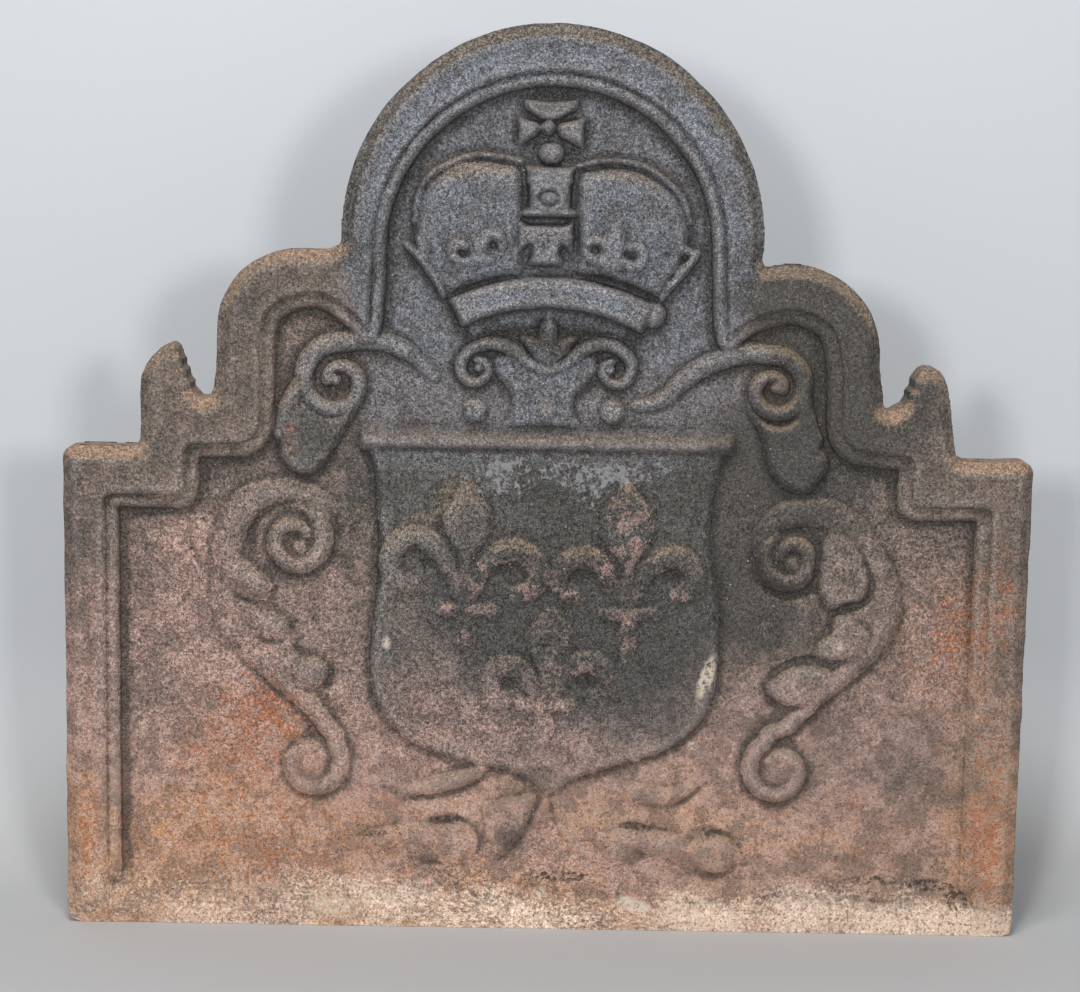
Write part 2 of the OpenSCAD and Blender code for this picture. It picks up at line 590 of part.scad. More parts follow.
// ---- foot ornament, worn almost flat: a knot of two stems, two leaves and two rolls
module on_foot(side) {
    color(rust) on_field() translate([0, foot_z, 0]) on_side(side) children();
}
module foot_stem(side) {
    line = side == 0
        ? [[-3, -8], [-7, -24], [-16, -38], [-30, -50], [-40, -54]]
        : [[-4, -8], [-9, -24], [-20, -36], [-34, -50], [-44, -55]];
    on_foot(side) ribbon(through(line, 3), [2, 5, 8, 7, 2], [2, foot_h, foot_h, foot_h, 1]);
}
module foot_leaf(side) {
    line = [[-100, -12], [-84, -8], [-64, -6], [-44, 4]];
    on_foot(side) ribbon(through(line, 3), [1, 6, 8, 2], [1, foot_h, foot_h, 1]);
}
module foot_roll(side) {
    tail = side == 0
        ? [[-104, -50], [-92, -47], [-80, -42], [-70, -38]]
        : [[-108, -46], [-98, -41], [-84, -38], [-66, -38]];
    on_foot(side) {
        button([-56, -40], 13, foot_h + 1);
        ribbon(through(tail, 2), [2, 6, 8, 3], [1, foot_h, foot_h, 1]);
        if (side == 1) button([-119, -44], 14, foot_h + 2);
    }
}

base_plate();
side_rim(0);  // side_rim_left
side_rim(1);  // side_rim_right
shoulder_rim(0);  // shoulder_rim_left
shoulder_rim(1);  // shoulder_rim_right
ear_rim(0);  // ear_rim_left
ear_rim(1);  // ear_rim_right
lobe_rim(0);  // lobe_rim_left
lobe_rim(1);  // lobe_rim_right
arch_rim();
rim_bead(0);  // rim_bead_left
rim_bead(1);  // rim_bead_right
arch_bead();
crown_circlet();
crown_lining();
cap(0);  // crown_cap_left
cap(1);  // crown_cap_right
crown_band();
crown_jewel();
crown_orb();
crown_cross();
circlet_cross();
fleuron(0);  // fleuron_left
fleuron(1);  // fleuron_right
half_fleuron(0);  // half_fleuron_left
half_fleuron(1);  // half_fleuron_right
bracket_stem();
bracket_volute(0);  // bracket_volute_left
bracket_volute(1);  // bracket_volute_right
bracket_palmette();
ledge_pearl(-46);  // ledge_pearl_left
ledge_pearl(1);  // ledge_pearl_middle
ledge_pearl(44.5);  // ledge_pearl_right
strap(0);  // strap_left
strap(1);  // strap_right
tongue(0);  // tongue_left
tongue(1);  // tongue_right
shield_ledge();
shield();
fleur_left();
fleur_right();
fleur_foot();
upper_volute(0);  // upper_volute_left
upper_volute(1);  // upper_volute_right
acanthus(0);  // acanthus_left
acanthus(1);  // acanthus_right
lower_volute(0);  // lower_volute_left
lower_volute(1);  // lower_volute_right
side_pearl(0);  // side_pearl_left
side_pearl(1);  // side_pearl_right
foot_stem(0);  // foot_stem_left
foot_stem(1);  // foot_stem_right
foot_leaf(0);  // foot_leaf_left
foot_leaf(1);  // foot_leaf_right
foot_roll(0);  // foot_roll_left
foot_roll(1);  // foot_roll_right
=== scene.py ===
import json
import math
import bpy
import numpy as np
from mathutils import Matrix, Vector


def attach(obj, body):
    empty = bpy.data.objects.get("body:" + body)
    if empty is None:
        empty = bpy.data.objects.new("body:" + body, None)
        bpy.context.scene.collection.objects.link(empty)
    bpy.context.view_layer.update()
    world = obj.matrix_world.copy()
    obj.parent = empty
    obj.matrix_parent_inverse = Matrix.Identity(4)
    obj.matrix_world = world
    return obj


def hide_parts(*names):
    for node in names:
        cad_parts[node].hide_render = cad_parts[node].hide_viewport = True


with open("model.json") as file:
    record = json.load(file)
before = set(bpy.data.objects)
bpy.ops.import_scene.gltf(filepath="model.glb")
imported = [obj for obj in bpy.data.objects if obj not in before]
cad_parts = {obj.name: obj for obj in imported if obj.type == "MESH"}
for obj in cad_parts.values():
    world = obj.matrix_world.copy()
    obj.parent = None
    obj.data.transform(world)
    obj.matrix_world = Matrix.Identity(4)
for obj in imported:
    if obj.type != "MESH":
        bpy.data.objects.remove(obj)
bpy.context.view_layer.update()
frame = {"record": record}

metres = 0.001  # lengths are in millimetres until a mesh is made

# the front of the casting is one lattice of heights; every piece takes its own cells from it
plate = {"halfWidth": 320.0, "height": 604.0, "front": -8.0, "back": 8.0, "columns": 582, "rows": 550,
         "archCentre": (0.0, 466.0), "archRadius": 137.9, "backChamfer": 1.2, "handWobble": 0.9}
# the place the object was drawn from: the camera stands here, and outlines were measured from here
view = {
    "imageWidth": 1080.0, "focal": 2400.0, "x": -13.03, "y": -1580.07, "z": 529.34, "pitch": 0.147407,
    "yaw": 0.004874, "roll": 0.018093}
columnX = np.linspace(-plate["halfWidth"], plate["halfWidth"], plate["columns"] + 1)
rowZ = np.linspace(0.0, plate["height"], plate["rows"] + 1)
gridX, gridZ = np.meshgrid(columnX, rowZ)
stepX, stepZ = columnX[1] - columnX[0], rowZ[1] - rowZ[0]
everywhere = (slice(None), slice(None))
nodeNames = ["base_plate"]


def smoothStep(value):
    t = np.clip(value, 0.0, 1.0)
    return t * t * (3.0 - 2.0 * t)


def seen(points, lift=4.0):
    # moves points measured on the plate's middle plane onto a surface that stands lift above the field
    shrink = 1.0 - (lift - plate["front"]) / -view["y"]
    return [(view["x"] + (x - view["x"]) * shrink, view["z"] + (z - view["z"]) * shrink) for x, z in points]


def seenAt(point, lift=4.0):
    return seen([point], lift)[0]


def shares(size, parts):
    return [size * part for part in parts]


def arcPoints(centre, radius, start, end, count):
    angles = np.radians(np.linspace(start, end, count + 1))
    return [(centre[0] + radius * math.cos(a), centre[1] + radius * math.sin(a)) for a in angles]


def coilPoints(centre, startRadius, endRadius, start, turn, count=60):
    # a volute whose turns lie evenly apart
    points = []
    for t in np.linspace(0.0, 1.0, count + 1):
        radius = startRadius + (endRadius - startRadius) * t
        a = math.radians(start + turn * t)
        points.append((centre[0] + radius * math.cos(a), centre[1] + radius * math.sin(a)))
    return points


def smoothLine(points, steps=4, closed=False):
    p = np.array(points, float)
    n = len(p)
    out = []
    for i in range(n if closed else n - 1):
        ids = [i - 1, i, i + 1, i + 2]
        ids = [k % n if closed else min(max(k, 0), n - 1) for k in ids]
        a, b, c, d = p[ids]
        for t in np.arange(steps) / steps:
            out.append(
                0.5
                * (
                    2 * b + (c - a) * t + (2 * a - 5 * b + 4 * c - d) * t ** 2
                    + (3 * b - a - 3 * c + d) * t ** 3))
    if not closed:
        out.append(p[-1])
    return [tuple(q) for q in out]


def windowOf(points, margin):
    p = np.array(points, float)
    i0 = max(int((p[:, 0].min() - margin - columnX[0]) / stepX), 0)
    i1 = min(int((p[:, 0].max() + margin - columnX[0]) / stepX) + 2, len(columnX))
    j0 = max(int((p[:, 1].min() - margin) / stepZ), 0)
    j1 = min(int((p[:, 1].max() + margin) / stepZ) + 2, len(rowZ))
    return slice(j0, j1), slice(i0, i1)


def nearest(points, window, closed=False, reach=60.0):
    # distance to a line, how far along it, and the place on it, for every lattice point of a window
    gx, gz = gridX[window], gridZ[window]
    best, share = np.full(gx.shape, 1e9), np.zeros(gx.shape)
    footX, footZ = np.zeros(gx.shape), np.zeros(gx.shape)
    p = np.array(points, float)
    if closed:
        p = np.vstack([p, p[:1]])
    lengths = np.hypot(*(p[1:] - p[:-1]).T)
    at = 0.0
    for a, b, length in zip(p[:-1], p[1:], lengths):
        if length < 1e-6:
            continue
        d = b - a
        i0 = np.searchsorted(gx[0], min(a[0], b[0]) - reach)
        i1 = np.searchsorted(gx[0], max(a[0], b[0]) + reach)
        j0 = np.searchsorted(gz[:, 0], min(a[1], b[1]) - reach)
        j1 = np.searchsorted(gz[:, 0], max(a[1], b[1]) + reach)
        sub = (slice(j0, j1), slice(i0, i1))
        sx, sz = gx[sub], gz[sub]
        t = np.clip(((sx - a[0]) * d[0] + (sz - a[1]) * d[1]) / (length * length), 0.0, 1.0)
        px, pz = a[0] + t * d[0], a[1] + t * d[1]
        dist = np.hypot(sx - px, sz - pz)
        closer = dist < best[sub]
        passed = (at + t * length) / lengths.sum()
        for array, value in ((best, dist), (share, passed), (footX, px), (footZ, pz)):
            array[sub] = np.where(closer, value, array[sub])
        at += length
    return best, share, footX, footZ


def insideOf(points, window):
    gx, gz = gridX[window], gridZ[window]
    inside = np.zeros(gx.shape, bool)
    for (x0, z0), (x1, z1) in zip(points, points[1:] + points[:1]):
        if z0 != z1:
            inside ^= ((z0 > gz) != (z1 > gz)) & (gx < (x1 - x0) * (gz - z0) / (z1 - z0) + x0)
    return inside


def lumps(size, seed):
    # smooth seeded noise whose bumps are about size apart
    rng = np.random.default_rng(seed)
    nx, nz = int(2 * plate["halfWidth"] / size) + 3, int(plate["height"] / size) + 3
    values = rng.uniform(-1.0, 1.0, (nz, nx))
    fx, fz = (gridX + plate["halfWidth"]) / size, gridZ / size
    ix, iz = fx.astype(int), fz.astype(int)
    tx, tz = smoothStep(fx - ix), smoothStep(fz - iz)
    low = values[iz, ix] * (1 - tx) + values[iz, ix + 1] * tx
    high = values[iz + 1, ix] * (1 - tx) + values[iz + 1, ix + 1] * tx
    return low * (1 - tz) + high * tz


def spot(x, z, rx, rz, tilt=0.0):
    # a soft round patch, 1 in its middle
    c, s = math.cos(math.radians(tilt)), math.sin(math.radians(tilt))
    dx, dz = gridX - x, gridZ - z
    return np.exp(-((dx * c + dz * s) / rx) ** 2 - ((dz * c - dx * s) / rz) ** 2)


def raiseForm(node, window, rise, carrier=0.0, soft=1.6, onTop=False):
    # adds a form to the relief; where it is the highest form so far, its cells belong to node
    if node not in nodeNames:
        nodeNames.append(node)
    index = nodeNames.index(node)
    current = relief[window]
    top = (current if onTop else carrier) + rise
    shown = rise > 0.0
    gap = np.clip(soft - np.abs(current - top), 0.0, None) / soft
    blend = top if onTop else np.maximum(current, top) + gap * gap * soft * 0.25 * smoothStep(rise / soft)
    relief[window] = np.where(shown, np.maximum(blend, current), current)
    if index:
        mine = shown & (rise > 0.35) & (top > ownHeight[window])
        ownHeight[window] = np.where(mine, top, ownHeight[window])
        owner[window] = np.where(mine, index, owner[window])


def strokeForm(node, points, widths, heights, carrier=0.0, roundness=0.6, soft=1.6, onTop=False):
    window = windowOf(points, max(widths) + 1.0)
    dist, share = nearest(points, window, reach=max(widths) + 2.0)[:2]
    width = np.interp(share, np.linspace(0, 1, len(widths)), widths)
    rise = np.interp(share, np.linspace(0, 1, len(heights)), heights)
    rounded = rise * np.clip(1.0 - (dist / width) ** 2, 0.0, 1.0) ** roundness
    raiseForm(node, window, rounded, carrier, soft, onTop)


def plateauForm(node, outline, rise, edge, carrier=0.0, crown=0.0, soft=1.6, onTop=False):
    window = windowOf(outline, 1.0)
    dist = nearest(outline, window, closed=True)[0]
    lifted = smoothStep(dist / edge) * rise + crown * (1.0 - np.exp(-dist / (2.5 * edge)))
    raiseForm(node, window, np.where(insideOf(outline, window), lifted, 0.0), carrier, soft, onTop)


def domeForm(node, centre, radius, rise, carrier=0.0, squash=1.0, soft=0.8, onTop=False):
    window = windowOf([centre], radius * max(1.0, squash) + 1.0)
    dist = np.hypot((gridX[window] - centre[0]) / squash, gridZ[window] - centre[1])
    lifted = rise * np.sqrt(np.clip(1.0 - (dist / radius) ** 2, 0.0, 1.0))
    raiseForm(node, window, lifted, carrier, soft, onTop)


def pressLine(points, width, depth):
    # presses a worn crease into the relief along a line
    window = windowOf(points, 3.0 * width)
    dist, share = nearest(points, window, reach=3.0 * width + 2.0)[:2]
    fade = smoothStep(np.minimum(share, 1.0 - share) / 0.12)
    relief[window] -= depth * (0.35 + 0.65 * fade) * np.exp(-(dist / width) ** 2)


def pressSpot(centre, radius, depth, squash=1.0):
    window = windowOf([centre], 2.5 * radius * max(1.0, squash))
    dist = np.hypot((gridX[window] - centre[0]) / squash, gridZ[window] - centre[1])
    relief[window] -= depth * np.exp(-(dist / radius) ** 2)


print("lattice", gridX.shape)

# outline, rim moulding and the bead inside it
rim = {"height": 11.0, "edge": 4.6, "bevel": 12.0, "archBevel": 13.5, "hollow": 0.9, "beadHeight": 9.4,
       "beadHalf": 4.8, "beadMiddle": 4.1, "beadFoot": 24.0, "shelf": 7.4, "brokenEdge": 9.2,
       "brokenBevel": 3.0}
leftEdge = (
    [(-312, 0), (-317, 1.6), (-319.5, 5), (-320, 10), (-320, 160), (-320, 316)]
    + arcPoints((-312, 317), 8, 180, 90, 4)
    + [(-300, 325.4), (-284, 325), (-272, 326), (-269, 330), (-268.5, 345), (-269, 360), (-268, 372)]
    + [
        (-265, 380), (-261, 385.5), (-258, 388), (-255, 391.5), (-252, 393), (-249, 394.2), (-246, 393.6),
        (-243.5, 391), (-242, 386), (-240.5, 383.5), (-240.4, 379), (-238, 376.5), (-237.2, 371),
        (-234.6, 368), (-234.8, 364.5), (-232, 362), (-229.5, 359), (-226, 358.6), (-222.5, 360),
        (-220.4, 365), (-219.5, 374), (-218.6, 388), (-218.4, 400)]
    + arcPoints((-167, 405), 51.3, 178, 92, 12)
    + [(-160, 456.6), (-152, 456.2), (-146, 456.8), (-142, 458.6), (-138.6, 460.5), (-137.6, 463)])
arch = arcPoints(plate["archCentre"], plate["archRadius"], 178, 2, 60)
rightEdge = (
    [(137.6, 460), (137.2, 454.5), (139.6, 449.6), (143, 450)] + arcPoints((158, 394), 57.8, 104, 6, 14)
    + [
        (216, 388), (217.5, 376), (219, 367), (219.5, 361), (221.8, 358), (225, 357.5), (228.5, 360),
        (232, 361.6), (234.6, 366), (235.2, 370), (237.6, 373), (237.8, 378), (240.6, 382), (243.5, 385.2),
        (247, 386.3), (252, 386), (255.5, 384), (258.5, 380), (261.5, 373), (263.5, 363), (265, 350),
        (266.6, 338), (268.5, 329), (271, 325.4), (284, 324.4), (300, 324.6), (312, 325)]
    + arcPoints((312, 317), 8, 90, 0, 4) + [(320, 160), (320, 5), (318.5, 1.5), (315, 0)])
plateEdge = leftEdge + arch + rightEdge
grooveLeft = (
    [(-292, -20), (-292, 288)] + arcPoints((-287, 288), 5, 180, 90, 3) + [(-262, 293), (-245, 293)]
    + arcPoints((-244.5, 298), 5, -90, 0, 3) + [(-239, 306), (-238.6, 318)]
    + arcPoints((-234.5, 322), 4.5, 180, 90, 3) + [(-222, 327), (-208, 327.6)]
    + arcPoints((-206, 344.6), 17, -80, 0, 5) + [(-189, 360), (-189, 392)]
    + smoothLine(
        [(-189, 402), (-185, 414.5), (-176, 422), (-162, 427), (-150, 427), (-138, 421), (-127, 412)], 3)
    + [(-120.4, 403.6)])
archGroove = {
    "angles": [180, 165, 150, 135, 110, 90, 60, 30, 0],
    "radii": [114.5, 113.8, 112.6, 111.8, 111.6, 112.2, 113.4, 114.4, 114.5]}
innerArch = []
for turn in np.linspace(180, 0, 45):
    reach = np.interp(-turn, [-a for a in archGroove["angles"]], archGroove["radii"])
    innerArch += arcPoints((-2, 460), reach, turn, turn, 0)
grooveArch = [(-118.6, 412), (-117, 440)] + innerArch + [(113.2, 440), (114.6, 412), (116.4, 403)]
grooveRight = (
    smoothLine(
        [
            (121, 408), (130, 414), (140, 418), (150, 420.6), (160, 421), (173, 417), (182.5, 410),
            (187, 400), (190, 384)],
        3)
    + [(191, 360), (191, 350)] + arcPoints((208, 346), 17, 180, 260, 5) + [(222, 327), (233, 326.6)]
    + arcPoints((234.5, 322), 4.5, 90, 0, 3) + [(239, 306)] + arcPoints((244.5, 298), 5, 180, 270, 3)
    + [(262, 293), (287, 293)] + arcPoints((287, 288), 5, 90, 0, 3) + [(292, -20)])
grooveLine = grooveLeft + grooveArch + grooveRight
edgeDist, _, edgeFootX, edgeFootZ = nearest(plateEdge, everywhere, reach=45.0)
edgeDist = np.minimum(edgeDist, 60.0)
insidePlate = insideOf(plateEdge, everywhere)
grooveDist = np.minimum(nearest(grooveLine, everywhere, reach=45.0)[0], 60.0)
groove = np.where(insideOf(grooveLine, everywhere), -grooveDist, grooveDist)  # positive on the band's side
broken = np.clip(spot(-241, 379, 9, 22) + spot(237, 372, 8, 18), 0.0, 1.0)
bevelWidth = np.where(gridZ > 470, rim["archBevel"], rim["bevel"]) * (1.0 + 0.16 * lumps(46, 8))
bevelWidth = bevelWidth + (rim["brokenBevel"] - bevelWidth) * broken
edgeRise = rim["edge"] + 0.7 * lumps(30, 9) + (rim["brokenEdge"] - rim["edge"]) * broken
band = edgeRise + (rim["height"] - edgeRise) * smoothStep((edgeDist + 1.0) / bevelWidth) ** 0.85
across = np.clip((edgeDist - bevelWidth * 0.8) / 16.0, 0.0, 1.0)
band = band - rim["hollow"] * np.sin(math.pi * across)
bandHeight = band * smoothStep((groove + 2.2) / 4.8)
beadFade = np.where(np.abs(gridX) > 250, smoothStep((gridZ - rim["beadFoot"]) / 14.0), 1.0)
# the beads are softer where they pass the lobes
onLobes = smoothStep((np.abs(gridX) - 118) / 14.0) * smoothStep((266 - np.abs(gridX)) / 14.0)
beadSize = rim["beadHeight"] * (1.0 + 0.12 * lumps(38, 12)) * (1 - 0.24 * onLobes)
beadSize = beadSize * np.where(np.abs(gridX) > 250, 0.82, 1.0)  # lower down the sides
beadAcross = (groove + rim["beadMiddle"] + 0.5 * lumps(26, 13)) / (rim["beadHalf"] + 0.8 * onLobes)
beadHeight = beadSize * beadFade * np.clip(1.0 - beadAcross ** 2, 0.0, 1.0) ** (0.5 + 0.25 * onLobes)
# a shelf keeps the crease between bead and band shallow
shelf = (rim["shelf"] + 0.4 * onLobes) * smoothStep(1.25 - np.abs(groove) / 4.0) * beadFade


def sideOfLine(a, b):
    return (b[0] - a[0]) * (gridZ - a[1]) - (b[1] - a[1]) * (mirrorX - a[0]) > 0


bandOwner = np.zeros(gridX.shape, dtype=np.int16)
beadOwner = np.zeros(gridX.shape, dtype=np.int16)
nodeNames += ["arch_rim", "arch_bead"]
for sideName, sign in (("left", 1), ("right", -1)):
    mirrorX = gridX * sign
    rimNames = ("side_rim_", "shoulder_rim_", "ear_rim_", "lobe_rim_", "rim_bead_")
    nodeNames += [name + sideName for name in rimNames]
    mitre = mirrorX + gridZ  # the rims meet on lines at 45 degrees
    pick = np.where(
        mitre < 5, nodeNames.index("side_rim_" + sideName),
        np.where(
            mitre < 57, nodeNames.index("shoulder_rim_" + sideName),
            nodeNames.index("ear_rim_" + sideName)))
    onLobe = ~sideOfLine((-203, 330), (-217, 361)) & (gridZ > 329)
    pick = np.where(onLobe, nodeNames.index("lobe_rim_" + sideName), pick)
    onArch = ~sideOfLine((-124, 408), (-138.5, 456)) & (gridZ > 396)
    pick = np.where(onArch, nodeNames.index("arch_rim"), pick)
    split = -120.3 if sign == 1 else -116.6
    beadPick = np.where(
        (mirrorX > split) & (gridZ > 398), nodeNames.index("arch_bead"),
        nodeNames.index("rim_bead_" + sideName))
    bandOwner = np.where(mirrorX <= 0, pick, bandOwner)
    beadOwner = np.where(mirrorX <= 0, beadPick, beadOwner)
bandShown = groove > 0
beadShown = (groove <= 0) & (groove > -8.6) & (beadHeight > 0.3)
relief = np.maximum(np.maximum(bandHeight, beadHeight), shelf)
relief = relief * (0.45 + 0.55 * smoothStep((gridZ + 1.0) / 9.0))  # worn lower edge
owner = np.where(bandShown, bandOwner, np.where(beadShown, beadOwner, 0)).astype(np.int16)
ownHeight = np.where(bandShown | beadShown, 50.0, 0.3)  # nothing else takes the rim's cells
print("rim", len(plateEdge), "points")

# shield with its ledge and three worn fleurs-de-lis
shield = {"height": 5.0, "edge": 5.0, "floor": 3.0, "petal": 3.0, "curl": 2.9, "bar": 2.2,
          "ledgeZ": [324.6, 326.0, 327.2, 328.2, 330.4, 333.0, 336.4, 340.0, 343.0],
          "ledgeRise": [0.0, 5.4, 5.6, 7.2, 8.6, 7.6, 4.2, 1.4, 0.0]}
shieldOutline = smoothLine(
    [
        (-123, 329), (-117, 316), (-115, 300), (-114, 280), (-112, 262), (-113, 240), (-116, 210),
        (-118, 190), (-118, 170), (-114, 155), (-107, 143), (-95, 130), (-75, 120), (-48, 112), (-30, 109),
        (-15, 105), (-5, 98), (3, 92), (10, 96), (18, 101), (30, 106), (45, 111), (60, 116), (75, 120),
        (85, 125), (95, 132), (105, 142), (112, 155), (116, 170), (117, 185), (117, 210), (115, 235),
        (111, 255), (109, 275), (110, 290), (112, 305), (115, 318), (120, 329)],
    2)
plateauForm("shield", shieldOutline, shield["height"], shield["edge"])
wornCorner = smoothStep((165 - gridZ) / 60.0) * smoothStep((40 - gridX) / 50.0)
wornCorner = wornCorner * smoothStep((gridX + 140) / 10.0)
relief = np.where(owner == nodeNames.index("shield"), relief * (1.0 - 0.34 * wornCorner), relief)
window = windowOf([(-130, 322), (130, 344)], 2)
along = np.clip((125.0 - np.abs(gridX[window] + 1.0)) / 5.0, 0.0, 1.0)
ledgeShape = np.interp(gridZ[window] + 0.5 * lumps(60, 14)[window], shield["ledgeZ"], shield["ledgeRise"])
raiseForm("shield_ledge", window, ledgeShape * smoothStep(along), soft=0.6)

fleurs = {
    "fleur_left": {
        "bud": [
            (-54, 306), (-62, 296), (-70, 286), (-71, 274), (-66, 262), (-60, 252), (-57, 238), (-51, 238),
            (-47, 252), (-41, 262), (-37, 274), (-38, 287), (-46, 296)],
        "curls": [
            [
                (-58, 226), (-63, 240), (-70, 254), (-80, 264), (-92, 266), (-102, 258), (-105, 246),
                (-99, 236), (-90, 234)],
            [
                (-49, 226), (-45, 241), (-37, 252), (-23, 258), (-10, 252), (-4, 241), (-10, 231),
                (-20, 228)]],
        "bar": [(-70, 217), (-36, 217)],
        "foot": [(-54, 212), (-54, 198), (-53, 186)],
        "rib": [(-56, 294), (-56, 274), (-54, 254)],
        "hollows": [(-82, 247), (-26, 243)]},
    "fleur_right": {
        "bud": [
            (53, 307), (44, 296), (35, 285), (34, 272), (41, 258), (50, 246), (53, 236), (56, 236),
            (60, 248), (67, 260), (72, 272), (71, 286), (62, 297)],
        "curls": [
            [(48, 226), (44, 236), (39, 246), (30, 253), (17, 252), (9, 244), (9, 234), (18, 228)],
            [(59, 226), (62, 236), (68, 246), (78, 253), (90, 254), (99, 246), (99, 236), (88, 229)]],
        "bar": [(38, 215), (73, 216)],
        "foot": [(55, 208), (55, 196), (54, 184)],
        "rib": [(53, 294), (54, 276), (54, 256)],
        "hollows": [(24, 241), (84, 241)]},
    "fleur_foot": {
        "bud": [
            (3, 222), (-6, 213), (-13, 203), (-14, 194), (-8, 182), (-4, 170), (-3, 158), (5, 158),
            (8, 172), (15, 184), (21, 195), (19, 205), (11, 214)],
        "curls": [
            [(-5, 156), (-10, 168), (-18, 177), (-28, 179), (-36, 172), (-36, 161), (-28, 155)],
            [(6, 158), (12, 171), (21, 181), (32, 182), (41, 175), (42, 164), (34, 157)]],
        "bar": [(-16, 152), (17, 152)],
        "foot": [(0, 147), (0, 136), (0, 124)],
        "rib": [(3, 212), (3, 196), (2, 182)],
        "hollows": [(-24, 166), (29, 169)]},
}
lift = shield["height"]
for name, form in fleurs.items():
    fade = 0.8 if name == "fleur_foot" else 1.0  # the lower one is worn most
    plateauForm(
        name, smoothLine(seen(form["bud"], lift), 3, True), shield["petal"] * fade, 4.5, lift, crown=0.6)
    stemFoot = seen([form["rib"][2], form["bar"][0]], lift)
    strokeForm(
        name, [stemFoot[0], (stemFoot[0][0], stemFoot[1][1])], [5.0, 4.0], [2.6 * fade, 2.0 * fade], lift,
        0.7)
    for curl in form["curls"]:
        heights = shares(shield["curl"] * fade, (0.6, 1.0, 1.2, 1.2, 1.0, 0.8))
        strokeForm(name, smoothLine(seen(curl, lift)), [4.0, 6.4, 8.0, 8.0, 7.2, 5.6], heights, lift, 0.8)
    strokeForm(name, seen(form["bar"], lift), [4.6, 4.6], [shield["bar"] * fade] * 2, lift, 0.8)
    strokeForm(name, seen(form["foot"], lift), [5.0, 8.0, 2.0], [2.0 * fade, 2.4 * fade, 0.8], lift, 0.8)
    pressLine(seen(form["rib"], lift), 2.2, 0.6)
    for x, z in seen(form["hollows"], lift):
        pressSpot((x, z), 5.5, 1.0)
ledgeCrack = [(-119, 327.4), (-60, 327.2), (0, 327.3), (60, 327.2), (118, 327.0)]
pressLine(ledgeCrack, 0.9, 1.4)
print("shield")

# crown: circlet, lining, two puffed caps, centre band, orb and cross
crown = {"centre": (-2, 297), "outer": 143.6, "inner": 124.0, "circlet": 13.6, "cap": 7.0, "puff": 6.0,
         "ends": (27.8, 30.5), "band": 12.0, "fleuronFloor": 4.0, "jewelFloor": 8.0, "ridge": 8.2}
window = windowOf([(-100, 396), (100, 446)], 2)
radius = np.hypot(gridX[window] - crown["centre"][0], gridZ[window] - crown["centre"][1])
angle = np.degrees(np.arctan2(gridX[window] - crown["centre"][0], gridZ[window] - crown["centre"][1]))
across = (radius - crown["inner"]) / (crown["outer"] - crown["inner"])
ends = smoothStep((crown["ends"][0] + angle) / 2.2) * smoothStep((crown["ends"][1] - angle) / 2.8)
profile = np.interp(
    across, [-0.04, 0.0, 0.06, 0.16, 0.3, 0.5, 0.72, 0.88, 0.97, 1.03],
    [0.0, 0.5, 0.84, 1.0, 0.95, 0.9, 0.9, 0.93, 0.8, 0.0])
raiseForm("crown_circlet", window, crown["circlet"] * profile * ends, soft=0.6)
under = np.interp(radius, [110, 114, 119, 123.4, 123.8], [0.0, 2.0, 4.0, 4.8, 0.0])
raiseForm("crown_lining", window, under * smoothStep((27.0 - np.abs(angle)) / 3.0), soft=0.6)
domeForm("crown_circlet", seenAt((67, 416), 10), 9.0, 9.5, soft=2.0)  # the worn knob at its right end

caps = {
    "crown_cap_left": {
        "outline": [
            (-17.5, 441), (-17.5, 462), (-17, 490), (-18, 506), (-22, 514), (-32, 517.5), (-46, 519.5),
            (-60, 518.5), (-71, 513.5), (-81, 505), (-87.5, 495), (-90.5, 484), (-91.5, 472), (-91, 462),
            (-87, 450), (-79, 438), (-68, 426), (-58, 429), (-44, 434), (-30, 438)],
        "ridge": [
            (-20.9, 514.7), (-30.3, 517), (-42, 518.6), (-50, 518.8), (-58.5, 517), (-66, 514),
            (-75, 509.5), (-81, 505), (-85.6, 499), (-88.5, 492), (-90.3, 483.5), (-90.9, 474)]},
    "crown_cap_right": {
        "outline": [
            (13.5, 441), (13, 462), (12.5, 490), (13, 505), (17, 511), (28, 514.5), (42, 516), (55, 514),
            (66, 509), (76, 502), (83.5, 494), (88.5, 484), (90.5, 473), (91, 462), (88, 450), (81, 438),
            (71, 426), (60, 429), (46, 434), (30, 438)],
        "ridge": [
            (15.6, 512.5), (28.5, 515.5), (38, 516.2), (48.5, 515.6), (59, 513), (66, 509.6), (73, 504.6),
            (79, 499.5), (83.8, 494), (88, 486), (90.3, 477)]},
}
for name, form in caps.items():
    plateauForm(name, smoothLine(form["outline"], 3, True), crown["cap"], 8.0, crown=crown["puff"])
    strokeForm(
        name, smoothLine(seen(form["ridge"], 8)), [1.6, 1.9, 2.1, 1.9, 1.6],
        shares(crown["ridge"], (0.9, 1.0, 1.0, 0.85, 0.45)), soft=1.6)
ridgeHollows = [
    [(-24, 509), (-34, 512), (-48, 513), (-60, 511), (-70, 506), (-78, 499), (-83, 490), (-85, 480)],
    [(18, 507), (30, 510), (42, 510.5), (54, 508.5), (64, 503.5), (73, 496.5), (80, 488), (84, 479)]]
for line in ridgeHollows:
    pressLine(smoothLine(seen(line, 10)), 3.0, 1.6)

